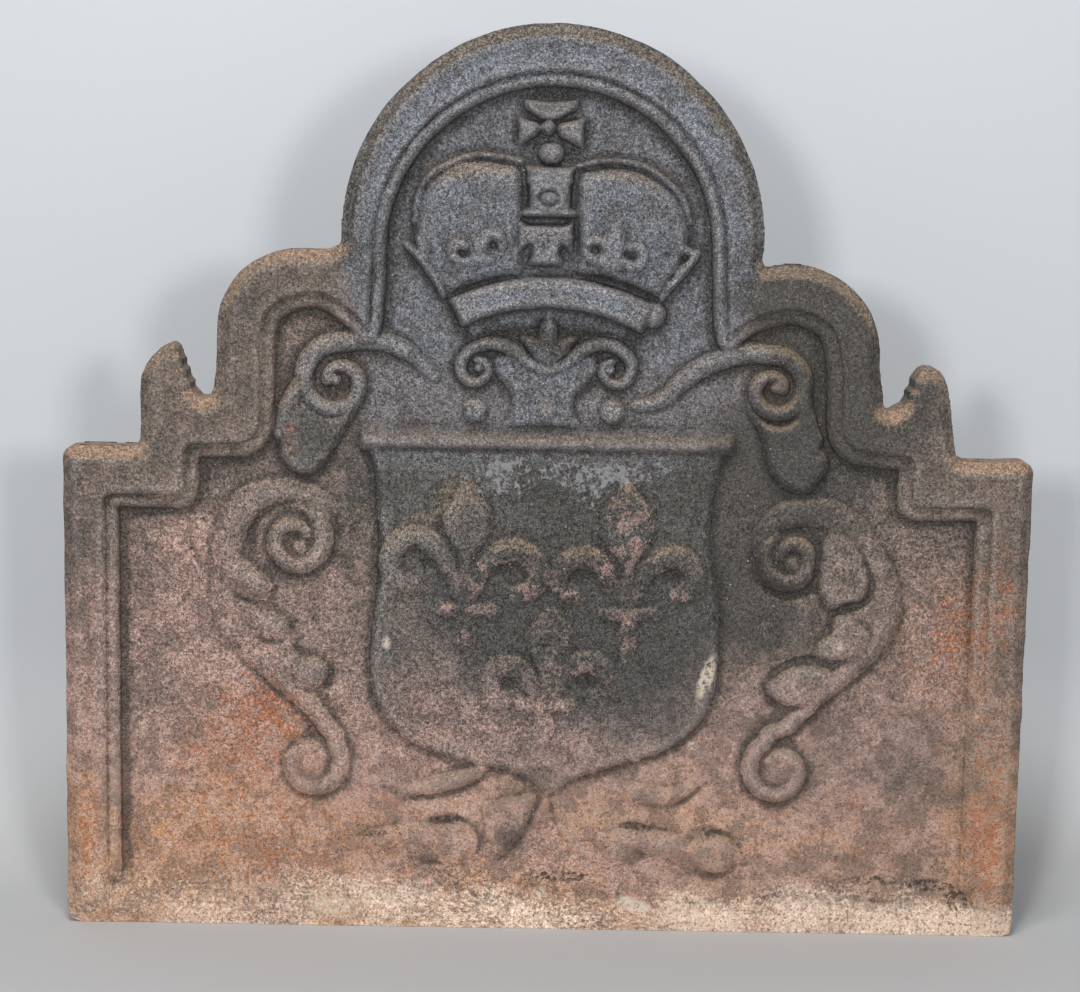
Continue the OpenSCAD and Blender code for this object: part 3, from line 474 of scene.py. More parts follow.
bandOutline = [
    (-17.5, 480), (12.5, 480), (12.0, 490), (12.4, 500), (14.5, 513), (-19.5, 513.5), (-17.6, 500),
    (-17, 490)]
plateauForm("crown_band", bandOutline, crown["band"], 3.0)
strokeForm("crown_band", seen([(-18, 481.5), (13, 481.5)], 13), [2.6, 2.6], [14.0, 14.0], soft=0.6)
strokeForm(
    "crown_band", seen([(-16, 502.5), (-3, 503.5), (11, 502.5)], 13), [2.2, 2.2], [13.6, 13.4], soft=0.8)
ring = [(-3 + 9.2 * math.cos(a), 491.6 + 7.4 * math.sin(a)) for a in np.linspace(0, 2 * math.pi, 17)]
strokeForm("crown_jewel", seen(ring, 13), [2.0, 2.0], [2.4, 2.4], crown["band"], onTop=True)
domeForm("crown_jewel", seenAt((-3, 491.4), 13), 4.2, 3.2, onTop=True, squash=1.3)
ring = [(-3 + 6.2 * math.cos(a), 491.4 + 5.0 * math.sin(a)) for a in np.linspace(0, 2 * math.pi, 17)]
pressLine(seen(ring, 13), 1.3, 2.6)
domeForm("crown_orb", seenAt((-1.8, 520.4), 8), 7.6, 11.0, squash=1.12)
pressSpot(seenAt((-1.8, 520.8), 8), 4.0, 1.6, squash=1.2)  # its worn flat
crossArms = {
    "top": [(-20.5, 549), (-20.5, 556), (-3, 554.5), (15.5, 556), (15.5, 549), (1.8, 541.5), (-9.2, 541.5)],
    "left": [(-24.6, 544.5), (-24.6, 523.5), (-11, 531.6), (-8, 536), (-10, 541)],
    "right": [(20.3, 544.5), (20.3, 522.3), (3, 530.6), (0.5, 536), (2, 541)],
}
for outline in crossArms.values():
    plateauForm("crown_cross", seen(outline, 8), 8.6, 2.6, crown=0.6)
window = windowOf([(-22, 545), (17, 557)], 1)
panel = insideOf(seen([(-15, 551), (10, 551), (1, 544), (-8, 544)], 9), window)
relief[window] -= np.where(panel, 1.7, 0.0)  # sunk triangle in the upper arm
domeForm("crown_cross", seenAt((-4.2, 537.4), 9), 5.2, 10.6, soft=1.5)
blockCross = [
    (-24, 478), (-17, 475), (7, 475), (14.6, 478.5), (14.6, 453), (6.5, 459.5), (5.5, 455), (9, 447),
    (-4, 446), (-17.5, 446.5), (-14.5, 455), (-15, 460), (-24, 453)]
plateauForm("circlet_cross", seen(blockCross, 12), 12.4, 3.0)
strokeForm(
    "circlet_cross", seen([(-21, 466), (-4, 465.6), (12, 466)], 13), [2.6, 2.6], [13.4, 13.4], soft=0.8)
for x in (-17.4, 8.4):
    pressSpot(seenAt((x, 453), 9), 2.6, 3.4)
pressLine(seen([(16.2, 479), (16.2, 466), (16, 453)], 10), 1.5, 3.0)
pressLine(seen([(-25.4, 476), (-25.2, 466), (-25, 455)], 10), 1.4, 1.8)

fleurons = {
    "fleuron_left": {
        "strokes": [
            ([(-51, 478), (-51, 466), (-50.5, 452)], [1.2, 2.6, 2.6], [0.6, 1.6, 1.8]),
            ([(-64, 452), (-66, 457), (-62, 461), (-58, 459)], [3.0, 3.6, 2.6], [2.4, 2.8, 2.0]),
            (
                [(-46, 453), (-46, 462), (-41, 467), (-35, 465), (-33, 460)], [2.8, 3.4, 3.4, 2.6],
                [2.0, 2.8, 3.0, 2.2]),
            ([(-63, 450), (-52, 449), (-40, 450.5)], [2.4, 2.4], [1.8, 1.8])],
        "holes": [(-59, 454.6), (-38.6, 460.6)]},
    "fleuron_right": {
        "strokes": [
            ([(44.6, 479), (41, 468), (39, 458), (38, 450)], [1.6, 5.2, 6.4, 7.0], [0.8, 2.4, 3.0, 3.0]),
            ([(23, 463), (29, 464.5), (34, 462)], [2.6, 2.8, 2.2], [2.2, 2.6, 1.8]),
            ([(22.5, 462), (22, 456), (27, 451.5), (33, 451)], [2.2, 2.6, 2.6], [1.8, 2.2, 2.2]),
            (
                [(47, 451), (52, 447.5), (58, 449.5), (59.5, 456), (56, 461), (51, 460)],
                [2.4, 2.8, 3.0, 2.6], [2.0, 2.6, 3.0, 2.4])],
        "holes": [(28, 458.6), (50.4, 455.6)]},
}
for name, form in fleurons.items():
    for line, widths, heights in form["strokes"]:
        strokeForm(
            name, smoothLine(seen(line, 11)), shares(1.25, widths), shares(1.45, heights), onTop=True,
            roundness=0.6)
    for hole in seen(form["holes"], 11):
        pressSpot(hole, 2.8, 4.2)
halfFleurons = {
    "half_fleuron_left": [
        (
            [(-71.5, 427), (-76, 436.5), (-82, 445), (-88, 452), (-96, 459)], [2.4, 3.2, 3.4, 2.4],
            [6.0, 9.6, 9.6, 6.4]),
        ([(-84, 452), (-86, 459), (-88, 464)], [3.0, 3.4, 3.0], [8.6, 9.8, 8.0]),
        ([(-72, 452), (-76, 458), (-74, 465)], [2.2, 2.6, 2.0], [9.6, 10.6, 9.4])],
    "half_fleuron_right": [
        (
            [(72.6, 427), (77, 434), (84, 443), (90, 450), (95, 457)], [2.4, 3.6, 4.2, 3.0],
            [6.0, 9.6, 9.6, 6.4]),
        ([(66.8, 450), (69.6, 457), (72.4, 464)], [2.0, 2.8, 2.0], [10.0, 11.4, 10.0]),
        ([(78, 464), (85, 460.5), (93, 456.5)], [2.4, 3.6, 2.4], [8.4, 9.6, 6.6]),
        ([(60, 446), (66, 445.6), (72, 446.6)], [2.0, 2.4, 2.0], [9.6, 10.6, 9.4])],
}
for name, lines in halfFleurons.items():
    for line, widths, heights in lines:
        strokeForm(name, smoothLine(seen(line, 9)), widths, heights, soft=0.8)
crownHollows = [
    (-80, 455, 2.4, 2.4), (-94, 453, 2.6, 1.6), (75, 456, 2.6, 3.0), (86, 453, 3.0, 2.4),
    (79, 441, 2.6, 2.0), (61, 440, 2.6, 1.4), (-66, 441, 3.4, 1.4), (-30, 446, 3.4, 1.2),
    (24, 446, 3.4, 1.2)]
for x, z, radius, depth in crownHollows:
    pressSpot(seenAt((x, z), 9), radius, depth)
circletCrease = [
    (-70, 428.5), (-56, 435.5), (-42, 441), (-25.6, 443.6), (-9, 444.2), (12, 443), (31, 440.6), (50, 437),
    (64, 432), (72, 427)]
pressLine(smoothLine(seen(circletCrease, 8)), 1.4, 1.0)
print("crown")

# bracket under the crown
bracket = {
    "stem": 4.6,
    "volute": 8.0,
    "pearls": {"left": (-49, 5.12), "middle": (-2, 7.8), "right": (41.4, 5.12)}}
stemOutline = [
    (-30, 341), (-27, 350), (-26, 361), (-30, 369), (-38, 378), (-37, 389), (-26, 392), (-13, 386),
    (-2, 380), (9, 386), (20, 392), (31, 390), (32, 379), (25, 370), (17, 362), (18, 350), (22, 341),
    (-4, 341)]
plateauForm("bracket_stem", smoothLine(stemOutline, 3, True), bracket["stem"], 5.0)
for line in ([(-29, 361), (-33, 368), (-40, 375)], [(19, 361), (25, 367), (33, 375)]):
    pressLine(line, 3.0, 1.6)
volutes = {
    "bracket_volute_left": [
        (-3, 379), (-14, 384), (-22, 391), (-32, 395.8), (-41, 396.8), (-52, 392.5), (-58.6, 384),
        (-58, 376), (-51, 371), (-44.4, 373), (-40.6, 378.5), (-43.4, 385), (-48.6, 386)],
    "bracket_volute_right": [
        (0, 379), (10, 384), (19, 392), (30, 397), (40, 396.6), (48, 392), (53, 385), (52, 377), (46, 371),
        (39, 372.6), (34, 378), (35.6, 384), (40.6, 386)],
}
for name, line in volutes.items():
    strokeForm(
        name, smoothLine(line, 4), [4.2, 4.8, 5.0, 4.6, 4.2, 3.6, 2.8],
        shares(bracket["volute"], (0.8, 0.95, 1.0, 0.95, 0.9, 0.86, 0.8)), soft=1.0)
domeForm("bracket_volute_left", (-47.4, 380.4), 3.0, 7.6, soft=1.0)
domeForm("bracket_volute_right", (39.6, 380.4), 3.0, 7.6, soft=1.0)
for line, widths in (([(-2, 384), (-2, 394), (-2, 404), (-2, 415)], [4.0, 6.0, 7.5, 3.6]),
                     ([(-5, 386), (-9, 392), (-13, 397), (-18, 400)], [3.4, 5.0, 5.4, 2.6]),
                     ([(2, 386), (6, 392), (10, 397), (15, 400)], [3.4, 5.0, 5.4, 2.6])):
    strokeForm("bracket_palmette", smoothLine(line), widths, [4.6, 7.4, 8.4, 6.0], soft=2.0)
for x, z in ((-7.5, 405), (4, 405), (-2, 396)):
    pressSpot((x, z), 2.0, 2.0)
for name, (x, rise) in bracket["pearls"].items():
    domeForm("ledge_pearl_" + name, (x, 352.4), 8.2, rise, soft=1.6)

# strap scrolls, each a broad ribbon that winds into a volute and hangs down as a tongue
straps = {
    "left": {
        "lead": [(-76, 372), (-85, 381), (-94, 388.5), (-109, 395.4), (-126, 397)],
        "eye": (-141, 368.5),
        "coil": (26, 6.5, 92, 440),
        "knob": (-142, 369.6),
        "hollow": (-146, 365.6),
        "flow": [(-158, 380), (-166, 366), (-175, 349), (-179, 333)],
        "tongue": [
            (-178, 346), (-181.7, 323), (-177, 311.7), (-167, 304.4), (-157, 304.6), (-148, 311.7),
            (-137, 330.6), (-127, 348.3), (-122.5, 362), (-131, 354), (-141, 348), (-152, 350), (-162, 358),
            (-170, 362)],
        "pocket": [(-160, 345), (-146, 343), (-139, 337), (-147, 324), (-157, 326)]},
    "right": {
        "lead": [(57, 355.5), (67, 357), (76, 361), (86, 371), (98, 380.5), (114.4, 388.3), (131, 392.8)],
        "eye": (149, 368),
        "coil": (23, 5.5, 92, -450),
        "knob": (149.4, 369),
        "hollow": (145, 366),
        "flow": [(168, 376), (168, 362), (171, 347), (178, 334)],
        "tongue": [
            (128.9, 364), (131, 352), (136, 343), (141, 332), (143.3, 320.5), (147.8, 309.4),
            (156.7, 300.5), (167.8, 296.6), (175.5, 298), (182, 306), (188.4, 316), (186.2, 327),
            (177.8, 338), (171, 352), (163, 352), (155, 347), (145.5, 348), (137, 354)],
        "pocket": [(148, 336), (165, 333), (170, 327), (158, 322), (149, 326)]},
}
strap = {"ribbon": 7.4, "tongue": 6.8, "pocket": 1.5}
for sideName, form in straps.items():
    plateauForm(
        "tongue_" + sideName, smoothLine(seen(form["tongue"], 6), 3, True), strap["tongue"], 6.0, crown=1.6)
    strokeForm(
        "tongue_" + sideName, smoothLine(seen(form["flow"], 6)), [4.0, 6.5, 7.0, 5.0], [6.0, 8.6, 9.0, 7.8],
        soft=3.0)
    pocket = seen(form["pocket"], 6)
    window = windowOf(pocket, 6)
    dist = nearest(pocket, window, closed=True)[0]
    depth = np.where(
        insideOf(pocket, window), 0.5 + 0.5 * smoothStep(dist / 4.0), 0.5 * smoothStep(1.0 - dist / 4.0))
    relief[window] -= strap["pocket"] * depth
    coil = seen(coilPoints(form["eye"], *form["coil"]), 7)
    strokeForm(
        "strap_" + sideName, smoothLine(seen(form["lead"], 6)) + coil, [3.6, 6.6, 7.6, 7.0, 6.2, 5.4, 4.2],
        shares(strap["ribbon"], (0.5, 0.8, 1.0, 1.05, 1.0, 0.95, 0.9)), roundness=0.6, soft=3.0)
    domeForm("strap_" + sideName, seenAt(form["knob"], 7), 3.8, 7.4, soft=1.2)
    pressSpot(seenAt(form["hollow"], 7), 2.2, 1.4)
print("bracket and straps")

# scrolls beside the shield: a volute above, an acanthus leaf, a smaller volute below
flanks = {
    "left": {
        "eye": (-168, 262),
        "coil": (19, 9, 30, -360),
        "lead": [(-166, 287), (-155, 282)],
        "knob": (-165, 257),
        "groove": [(-197, 252), (-198, 267), (-192, 279), (-181, 286), (-168, 288), (-155, 285)],
        "back": [(-213, 240), (-214, 256), (-210, 273), (-199, 287), (-181, 293), (-162, 292), (-148, 284)],
        "body": [
            (-212, 258), (-222, 240), (-219, 215), (-207, 194), (-192, 178), (-172, 161), (-157, 149),
            (-151, 158), (-145, 168), (-146, 178), (-158, 183), (-168, 189), (-166, 200), (-175, 206),
            (-188, 210), (-182, 222), (-185, 235), (-197, 244), (-203, 252)],
        "leaf": [
            (-216, 236), (-216, 222), (-212, 208), (-203, 194), (-193, 183), (-180, 171), (-168, 160),
            (-157, 149), (-149, 138), (-143, 128)],
        "lobes": [],
        "puffs": [
            ([(-213, 243), (-204, 238), (-194, 231)], [9.0, 11.0, 9.5], [4.4, 6.2, 6.4]),
            ([(-206, 216), (-194, 209), (-180, 203)], [7.0, 9.0, 8.5], [3.4, 5.4, 5.8]),
            ([(-190, 186), (-174, 178), (-157, 172)], [8.0, 11.0, 11.0], [3.4, 5.8, 6.4])],
        "veins": [
            [(-217, 250), (-218, 240), (-217, 229)], [(-182, 229), (-187, 220), (-198, 219), (-210, 225)],
            [(-170, 205), (-172, 195), (-184, 192), (-196, 197)],
            [(-145, 178), (-145, 166), (-157, 159), (-172, 163)]],
        "lowerEye": (-157, 109),
        "lowerLead": [(-148, 138), (-141, 129)],
        "lowerCoil": (21, 9, 40, -360),
        "pearl": (-144, 205)},
    "right": {
        "eye": (163, 255),
        "coil": (19, 7.5, 140, 390),
        "lead": [(166, 281), (154, 277)],
        "knob": (164, 251),
        "groove": coilPoints((163, 252), 23.5, 23.5, 80, 250, 16),
        "back": [(222, 250), (212, 266), (200, 278), (184, 285.5), (168, 286), (154, 280), (144.5, 268)],
        "body": [
            (176, 284), (196, 284), (212, 270), (226, 250), (232, 229), (229, 208), (218, 190), (202, 172),
            (186, 156), (172, 146), (160, 151), (151, 161), (153, 172), (168, 178), (181, 188), (190, 204),
            (193, 217), (207, 222), (215, 232), (214, 246), (203, 262), (190, 272)],
        "leaf": [
            (204, 273), (215, 260), (224, 247), (229, 232), (229.5, 219), (226, 206), (218, 194),
            (207, 182), (195, 171), (183, 160), (174, 150), (165, 140)],
        "lobes": [
            [
                (190, 279), (204, 270), (213, 258), (218, 243), (217, 231), (211, 225), (201, 223),
                (193, 219), (184, 226), (180, 240), (180, 254), (183, 268)],
            [
                (200, 219), (192.5, 215), (190, 207), (181, 196), (180, 188), (187, 185), (206, 184),
                (217, 194), (219, 208)],
            [
                (152, 173), (163, 181), (176, 184), (192, 182), (198, 174), (188, 162), (177, 153),
                (165, 152), (151, 159), (148, 166)]],
        "veins": [
            [(219, 243), (218, 231), (212, 224), (202, 222), (192, 217)],
            [(152, 174), (162, 182), (175, 186), (188, 184)], [(183, 262), (180, 250), (180, 240)],
            [(150, 159), (164, 152), (178, 153)]],
        "puffs": [],
        "lowerEye": (160, 109),
        "lowerLead": [(166, 140), (153, 134)],
        "lowerCoil": (21.5, 9, 120, 380),
        "pearl": (149, 202.5)},
}
flank = {"volute": 7.2, "leaf": 6.0, "lobe": 5.8, "back": 4.2, "body": 2.8, "pearl": 2.4}
for sideName, form in flanks.items():
    leafName = "acanthus_" + sideName
    plateauForm(leafName, smoothLine(seen(form["body"]), 3, True), flank["body"], 5.0, crown=0.8, soft=2.4)
    strokeForm(
        leafName, smoothLine(seen(form["back"])), [8, 10.5, 11, 11, 10, 8],
        shares(flank["back"], (1.0, 1.0, 1.0, 1.0, 0.9, 0.7)), roundness=0.8, soft=2.4)
    strokeForm(
        leafName, smoothLine(seen(form["leaf"])), [7, 9.0, 9.5, 9.0, 8.5, 7.5, 6.5],
        shares(flank["leaf"], (0.5, 0.6, 0.75, 0.9, 0.95, 0.95)), roundness=0.9, soft=3.0)
    for lobe in form["lobes"]:
        plateauForm(leafName, smoothLine(seen(lobe), 3, True), flank["lobe"], 5.0, crown=1.4, soft=1.6)
    for puff, widths, heights in form["puffs"]:
        strokeForm(leafName, smoothLine(seen(puff)), widths, heights, roundness=0.9, soft=1.4)
    line = smoothLine(seen(form["lead"])) + seen(coilPoints(form["eye"], *form["coil"]))
    strokeForm(
        "upper_volute_" + sideName, line, [6.0, 7.6, 8.0, 7.8, 7.0, 6.0, 4.6],
        shares(flank["volute"], (0.6, 0.85, 1.0, 1.0, 0.95, 0.85)), roundness=0.85, soft=2.4)
    pressLine(seen(coilPoints(form["knob"], 9.0, 7.5, 150, 170, 12), 6), 1.5, 2.0)
    domeForm("upper_volute_" + sideName, seenAt(form["knob"], 6), 5.4, 6.4, soft=2.0)
    domeForm("upper_volute_" + sideName, seenAt(form["eye"], 6), 18.0, 2.2, soft=2.0)
    line = smoothLine(seen(form["lowerLead"])) + seen(coilPoints(form["lowerEye"], *form["lowerCoil"]))
    strokeForm(
        "lower_volute_" + sideName, line, [6.0, 6.8, 6.8, 6.2, 5.4, 4.8, 4.2],
        shares(flank["volute"], (0.7, 0.85, 0.85, 0.78, 0.7, 0.66)), roundness=0.8, soft=2.4)
    for radius, rise in ((17.0, 3.8), (6.0, 5.0)):
        domeForm("lower_volute_" + sideName, seenAt(form["lowerEye"], 6), radius, rise, soft=2.4)
    pressLine(seen(form["groove"], 5), 2.4, 3.0)
    for vein in form["veins"]:
        pressLine(smoothLine(seen(vein)), 1.8, 2.2)
    domeForm("side_pearl_" + sideName, seenAt(form["pearl"]), 8.4, flank["pearl"], soft=1.6)
pressSpot(seenAt((191, 205)), 2.6, 2.4)

# worn knot at the foot: two crossed stems, a leaf and a roll on each side
footStrokes = {
    "foot_stem_right": [
        ([(9, 85), (14, 71), (24, 56), (37, 43)], [3.0, 5.0, 6.0, 3.0], [1.6, 2.6, 2.6, 1.2])],
    "foot_leaf_left": [
        ([(-117, 96), (-106, 101), (-96, 94)], [4.0, 6.0, 4.0], [1.6, 3.0, 1.8]),
        ([(-93, 91), (-72, 95), (-54, 100), (-42, 106)], [4.5, 6.5, 6.5, 4.0], [2.2, 3.6, 3.6, 1.8])],
    "foot_leaf_right": [
        (
            [(44, 99), (58, 94), (76, 90), (91, 91), (105, 101)], [4.0, 6.0, 6.5, 6.0, 3.5],
            [1.8, 3.0, 3.2, 3.2, 1.6])],
    "foot_roll_left": [
        (
            [(-128, 53), (-116, 57), (-104, 58), (-90, 60), (-76, 60)], [3.5, 6.5, 7.5, 8.0, 8.0],
            [1.4, 2.6, 3.0, 3.4, 3.6])],
    "foot_roll_right": [
        ([(53, 59), (70, 58), (86, 56), (104, 51)], [7.0, 9.0, 9.0, 8.0], [3.4, 3.6, 3.6, 3.2])],
}
plateauForm(
    "foot_stem_left",
    smoothLine(
        seen(
            [
                (-41, 82), (-30, 87), (-15, 90), (-3, 89), (-5, 78), (-13, 59), (-22, 49), (-32, 42),
                (-37, 52), (-40, 68)]),
        3, True),
    3.2, 6.0)
for name, lines in footStrokes.items():
    for line, widths, heights in lines:
        strokeForm(name, smoothLine(seen(line)), widths, heights, roundness=0.75, soft=2.0)
footDomes = {
    "foot_roll_left": [(-60, 55, 15, 4.8, 1.1)],
    "foot_roll_right": [(54, 54, 9.5, 4.6, 1.0), (82, 55, 7.5, 4.4, 1.1), (118, 50, 13.5, 6.4, 1.2)]}
for name, domes in footDomes.items():
    for x, z, radius, rise, squash in domes:
        domeForm(name, seenAt((x, z)), radius, rise, squash=squash, soft=2.0)
footCreases = [
    [(-91, 85), (-70, 88), (-53, 93), (-41, 100)],
    [(-80, 66), (-70, 71), (-58, 71), (-48, 65), (-42, 55), (-46, 46)],
    [(-127, 56), (-117, 62), (-107, 63), (-97, 68)], [(-93, 47), (-80, 41), (-68, 39)],
    [(-3, 90), (-8, 74), (-14, 60), (-24, 48), (-34, 40)], [(6, 88), (9, 75), (15, 62), (24, 51), (34, 41)],
    [(52, 66), (60, 69), (74, 66), (88, 64), (94, 57)], [(63, 56), (68, 50), (66, 44)],
    [(88, 86), (98, 88), (108, 98)], [(92, 40), (105, 34), (118, 33), (130, 39)],
    [(104, 66), (116, 66), (128, 60), (134, 50)], [(101, 62), (100, 52), (98, 44)]]
for line in footCreases:
    pressLine(smoothLine(seen(line)), 3.0, 1.3)
mounds = [
    (
        [(182, 46), (192, 40), (213, 33), (235, 27), (258, 28), (276, 23), (288, 14)],
        [6, 9, 10, 8, 7, 8, 5], [1.0, 2.6, 3.0, 2.4, 2.2, 2.8, 1.2]),
    ([(141, 20), (150, 17), (160, 12)], [8, 10, 7], [1.0, 2.0, 1.0])]
for line, widths, heights in mounds:
    strokeForm("base_plate", smoothLine(seen(line)), widths, heights, roundness=0.9, soft=2.0)
print("scrolls and foot")

# wear: rounding, the field's slow waves and sand grain that is large enough to be a shape
wear = {"sharpPasses": 1, "softPasses": 5, "wave": 1.0, "sand": 0.17, "crust": 0.45, "base": 0.6,
        "scaleLevel": 5.4, "mostRelief": 15.2}


def blurred(values, weight, passes):
    out, share = values * weight, weight.astype(float)
    for _ in range(passes):
        for axis in (0, 1):
            for array in (out, share):
                padded = np.pad(array, [(1, 1) if k == axis else (0, 0) for k in (0, 1)], mode="edge")
                a, b, c = (padded[:-2], padded[1:-1], padded[2:]) if axis == 0 else (
                    padded[:, :-2], padded[:, 1:-1], padded[:, 2:])
                array[:] = 0.25 * a + 0.5 * b + 0.25 * c
    return out / np.maximum(share, 1e-6)


wornSoft = smoothStep((345 - gridZ) / 40.0) * smoothStep((305 - np.abs(gridX)) / 20.0)
sharp = blurred(relief, insidePlate, wear["sharpPasses"])
soft = blurred(relief, insidePlate, wear["softPasses"])
relief = np.where(insidePlate, sharp + (soft - sharp) * (0.1 + 0.5 * wornSoft), relief)
# the right rim is nearly worn away low down, and so are the foot ornament and the feet of the side rims
veryWorn = (
    0.75 * smoothStep((240 - gridZ) / 80.0) * smoothStep((gridX - 268) / 12.0)
    + 0.4 * smoothStep((90 - gridZ) / 30.0) * smoothStep((285 - np.abs(gridX)) / 10.0)
    + 0.9 * smoothStep((50 - gridZ) / 18.0) * smoothStep((np.abs(gridX) - 250) / 8.0))
veryWorn = np.clip(veryWorn, 0.0, 0.85)
flat = blurred(soft, insidePlate, 28)
veryWorn = veryWorn * smoothStep((edgeDist - 9.0) / 8.0)
relief = np.where(insidePlate & (edgeDist > 9), relief + (flat - relief) * veryWorn, relief)
wave = wear["base"] + wear["wave"] * (0.5 * lumps(70, 3) + 0.3 * lumps(24, 4) + 0.16 * lumps(11, 5))
openField = smoothStep(1.0 - relief / 4.0)
sandGrain = lumps(2.7, 6) * 0.6 + lumps(4.6, 7) * 0.5 + lumps(8.5, 15) * 0.4
crustLumps = np.clip(lumps(5.5, 17) + 0.5 * lumps(3.0, 18), -0.2, 1.0)
crustRise = smoothStep((46 - gridZ + 9 * lumps(30, 16)) / 22.0) * crustLumps
relief = relief + openField * wave * smoothStep(edgeDist / 6.0)
# rust scale fills the foot up to one level
scaled = 0.8 * smoothStep((24 - gridZ + 5 * lumps(36, 19)) / 22.0)
relief = relief + scaled * (wear["scaleLevel"] - relief)
relief = relief + wear["sand"] * sandGrain * (1.0 + 0.6 * wornSoft) + wear["crust"] * crustRise

fast = blurred(relief, insidePlate, 5)
middle = blurred(fast, insidePlate, 22)
slow = blurred(middle, insidePlate, 90)
# how hollow each place is, near and far; worn forms are lower, so they count for more; it sets the painted
# shade in creases and the lighter tone on raised places
hollow = (0.45 * np.clip((slow - relief) / (4.2 - 1.6 * wornSoft), -1.0, 1.0)
          + 0.6 * np.clip((middle - relief) / (2.2 - 0.9 * wornSoft), -1.0, 1.0)
          + 0.4 * np.clip((fast - relief) / (1.0 - 0.3 * wornSoft), -1.0, 1.0))
slopeZ = np.gradient(blurred(relief, insidePlate, 2), stepZ, axis=0)
upward = np.clip(-slopeZ * 1.3, 0.0, 1.0)
print("wear")


# cells and their owners
def corners(array):
    return np.stack([array[:-1, :-1], array[:-1, 1:], array[1:, :-1], array[1:, 1:]])


cellInside = corners(insidePlate).sum(axis=0) >= 2
strongest = np.argmax(corners(ownHeight), axis=0)
cellOwner = np.take_along_axis(corners(owner), strongest[None], axis=0)[0]
cellOwner = np.where(cellInside, cellOwner, -1).astype(np.int16)


def mendCorners(labels):
    # two cells of one piece that touch only at a corner are joined, so that no mesh meets itself in a point
    for _ in range(12):
        a, b, c, d = labels[:-1, :-1], labels[:-1, 1:], labels[1:, :-1], labels[1:, 1:]
        falling, rising = (a == d) & (a != b) & (a != c), (b == c) & (b != a) & (b != d)
        if not (falling.any() or rising.any()):
            break
        for pairs, first, other in ((falling, (0, 0), (0, 1)), (rising, (0, 1), (0, 0))):
            for j, i in zip(*np.nonzero(pairs)):
                one, two = (j + first[0], i + first[1]), (j + other[0], i + other[1])
                opposite = (j + 1, i + 1 - first[1])
                if labels[one] == labels[opposite] and labels[one] != labels[two]:
                    if labels[two] >= 0:
                        labels[one] = labels[two]
                    else:
                        labels[two] = labels[one]
    return labels


def dropSpecks(labels, least=40):
    # stray islands of a few cells go to the piece around them
    seenCells = np.zeros(labels.shape, bool)
    rows, columns = labels.shape
    for start in zip(*np.nonzero(labels > 0)):
        if seenCells[start]:
            continue
        label, stack, cells, around = labels[start], [start], [], {}
        seenCells[start] = True
        while stack:
            j, i = stack.pop()
            cells.append((j, i))
            for jj, ii in ((j + 1, i), (j - 1, i), (j, i + 1), (j, i - 1)):
                if 0 <= jj < rows and 0 <= ii < columns:
                    other = labels[jj, ii]
                    if other == label:
                        if not seenCells[jj, ii]:
                            seenCells[jj, ii] = True
                            stack.append((jj, ii))
                    elif other >= 0:
                        around[other] = around.get(other, 0) + 1
        if len(cells) < least and around:
            for cell in cells:
                labels[cell] = max(around, key=around.get)
    return labels


cellOwner = mendCorners(dropSpecks(cellOwner))

# pieces that sit on another form: what they sit on, and the height of their seat
carried = {"shield": (["fleur_left", "fleur_right", "fleur_foot"], shield["floor"]),
           "crown_cap_left": (["fleuron_left"], crown["fleuronFloor"]),
           "crown_cap_right": (["fleuron_right"], crown["fleuronFloor"]),
           "crown_band": (["crown_jewel"], crown["jewelFloor"])}
floors = {child: level for members, level in carried.values() for child in members}
leastHeight = np.full(gridX.shape, -1.4)
padded = np.pad(cellOwner, 1, constant_values=-1)
cornerLabels = corners(padded)  # the four cells around each lattice point
for index, node in enumerate(nodeNames):
    if index:
        touched = (cornerLabels == index).any(axis=0)
        leastHeight = np.where(touched, np.maximum(leastHeight, floors.get(node, 0.0) + 0.3), leastHeight)
relief = np.clip(relief, leastHeight, wear["mostRelief"])

# lattice points on a border move onto the outline, or are evened out between two pieces
shape = gridX.shape
touchesOut = (cornerLabels == -1).any(axis=0) & (cornerLabels >= 0).any(axis=0)
touchesTwo = (cornerLabels.max(axis=0) != cornerLabels.min(axis=0)) & ~touchesOut
bottomRow = gridZ < 0.01
signedEdge = np.where(insidePlate, edgeDist, -edgeDist)
insetZ, insetX = np.gradient(signedEdge, stepZ, stepX)
insetSize = np.maximum(np.hypot(insetX, insetZ), 1e-6)
onBottom = bottomRow & (np.abs(gridX) < 311)
insetX = np.where(onBottom, 0.0, insetX / insetSize)
insetZ = np.where(onBottom, 1.0, insetZ / insetSize)
pointX, pointZ = gridX.copy(), gridZ.copy()
snap = touchesOut & ~onBottom
wobble = plate["handWobble"] * np.clip(0.5 + 0.42 * lumps(26, 31) + 0.3 * lumps(9, 32), 0.0, 1.2)
pointX = np.where(snap, edgeFootX + insetX * wobble, pointX)
pointZ = np.where(snap, np.maximum(edgeFootZ + insetZ * wobble, 0.0), pointZ)
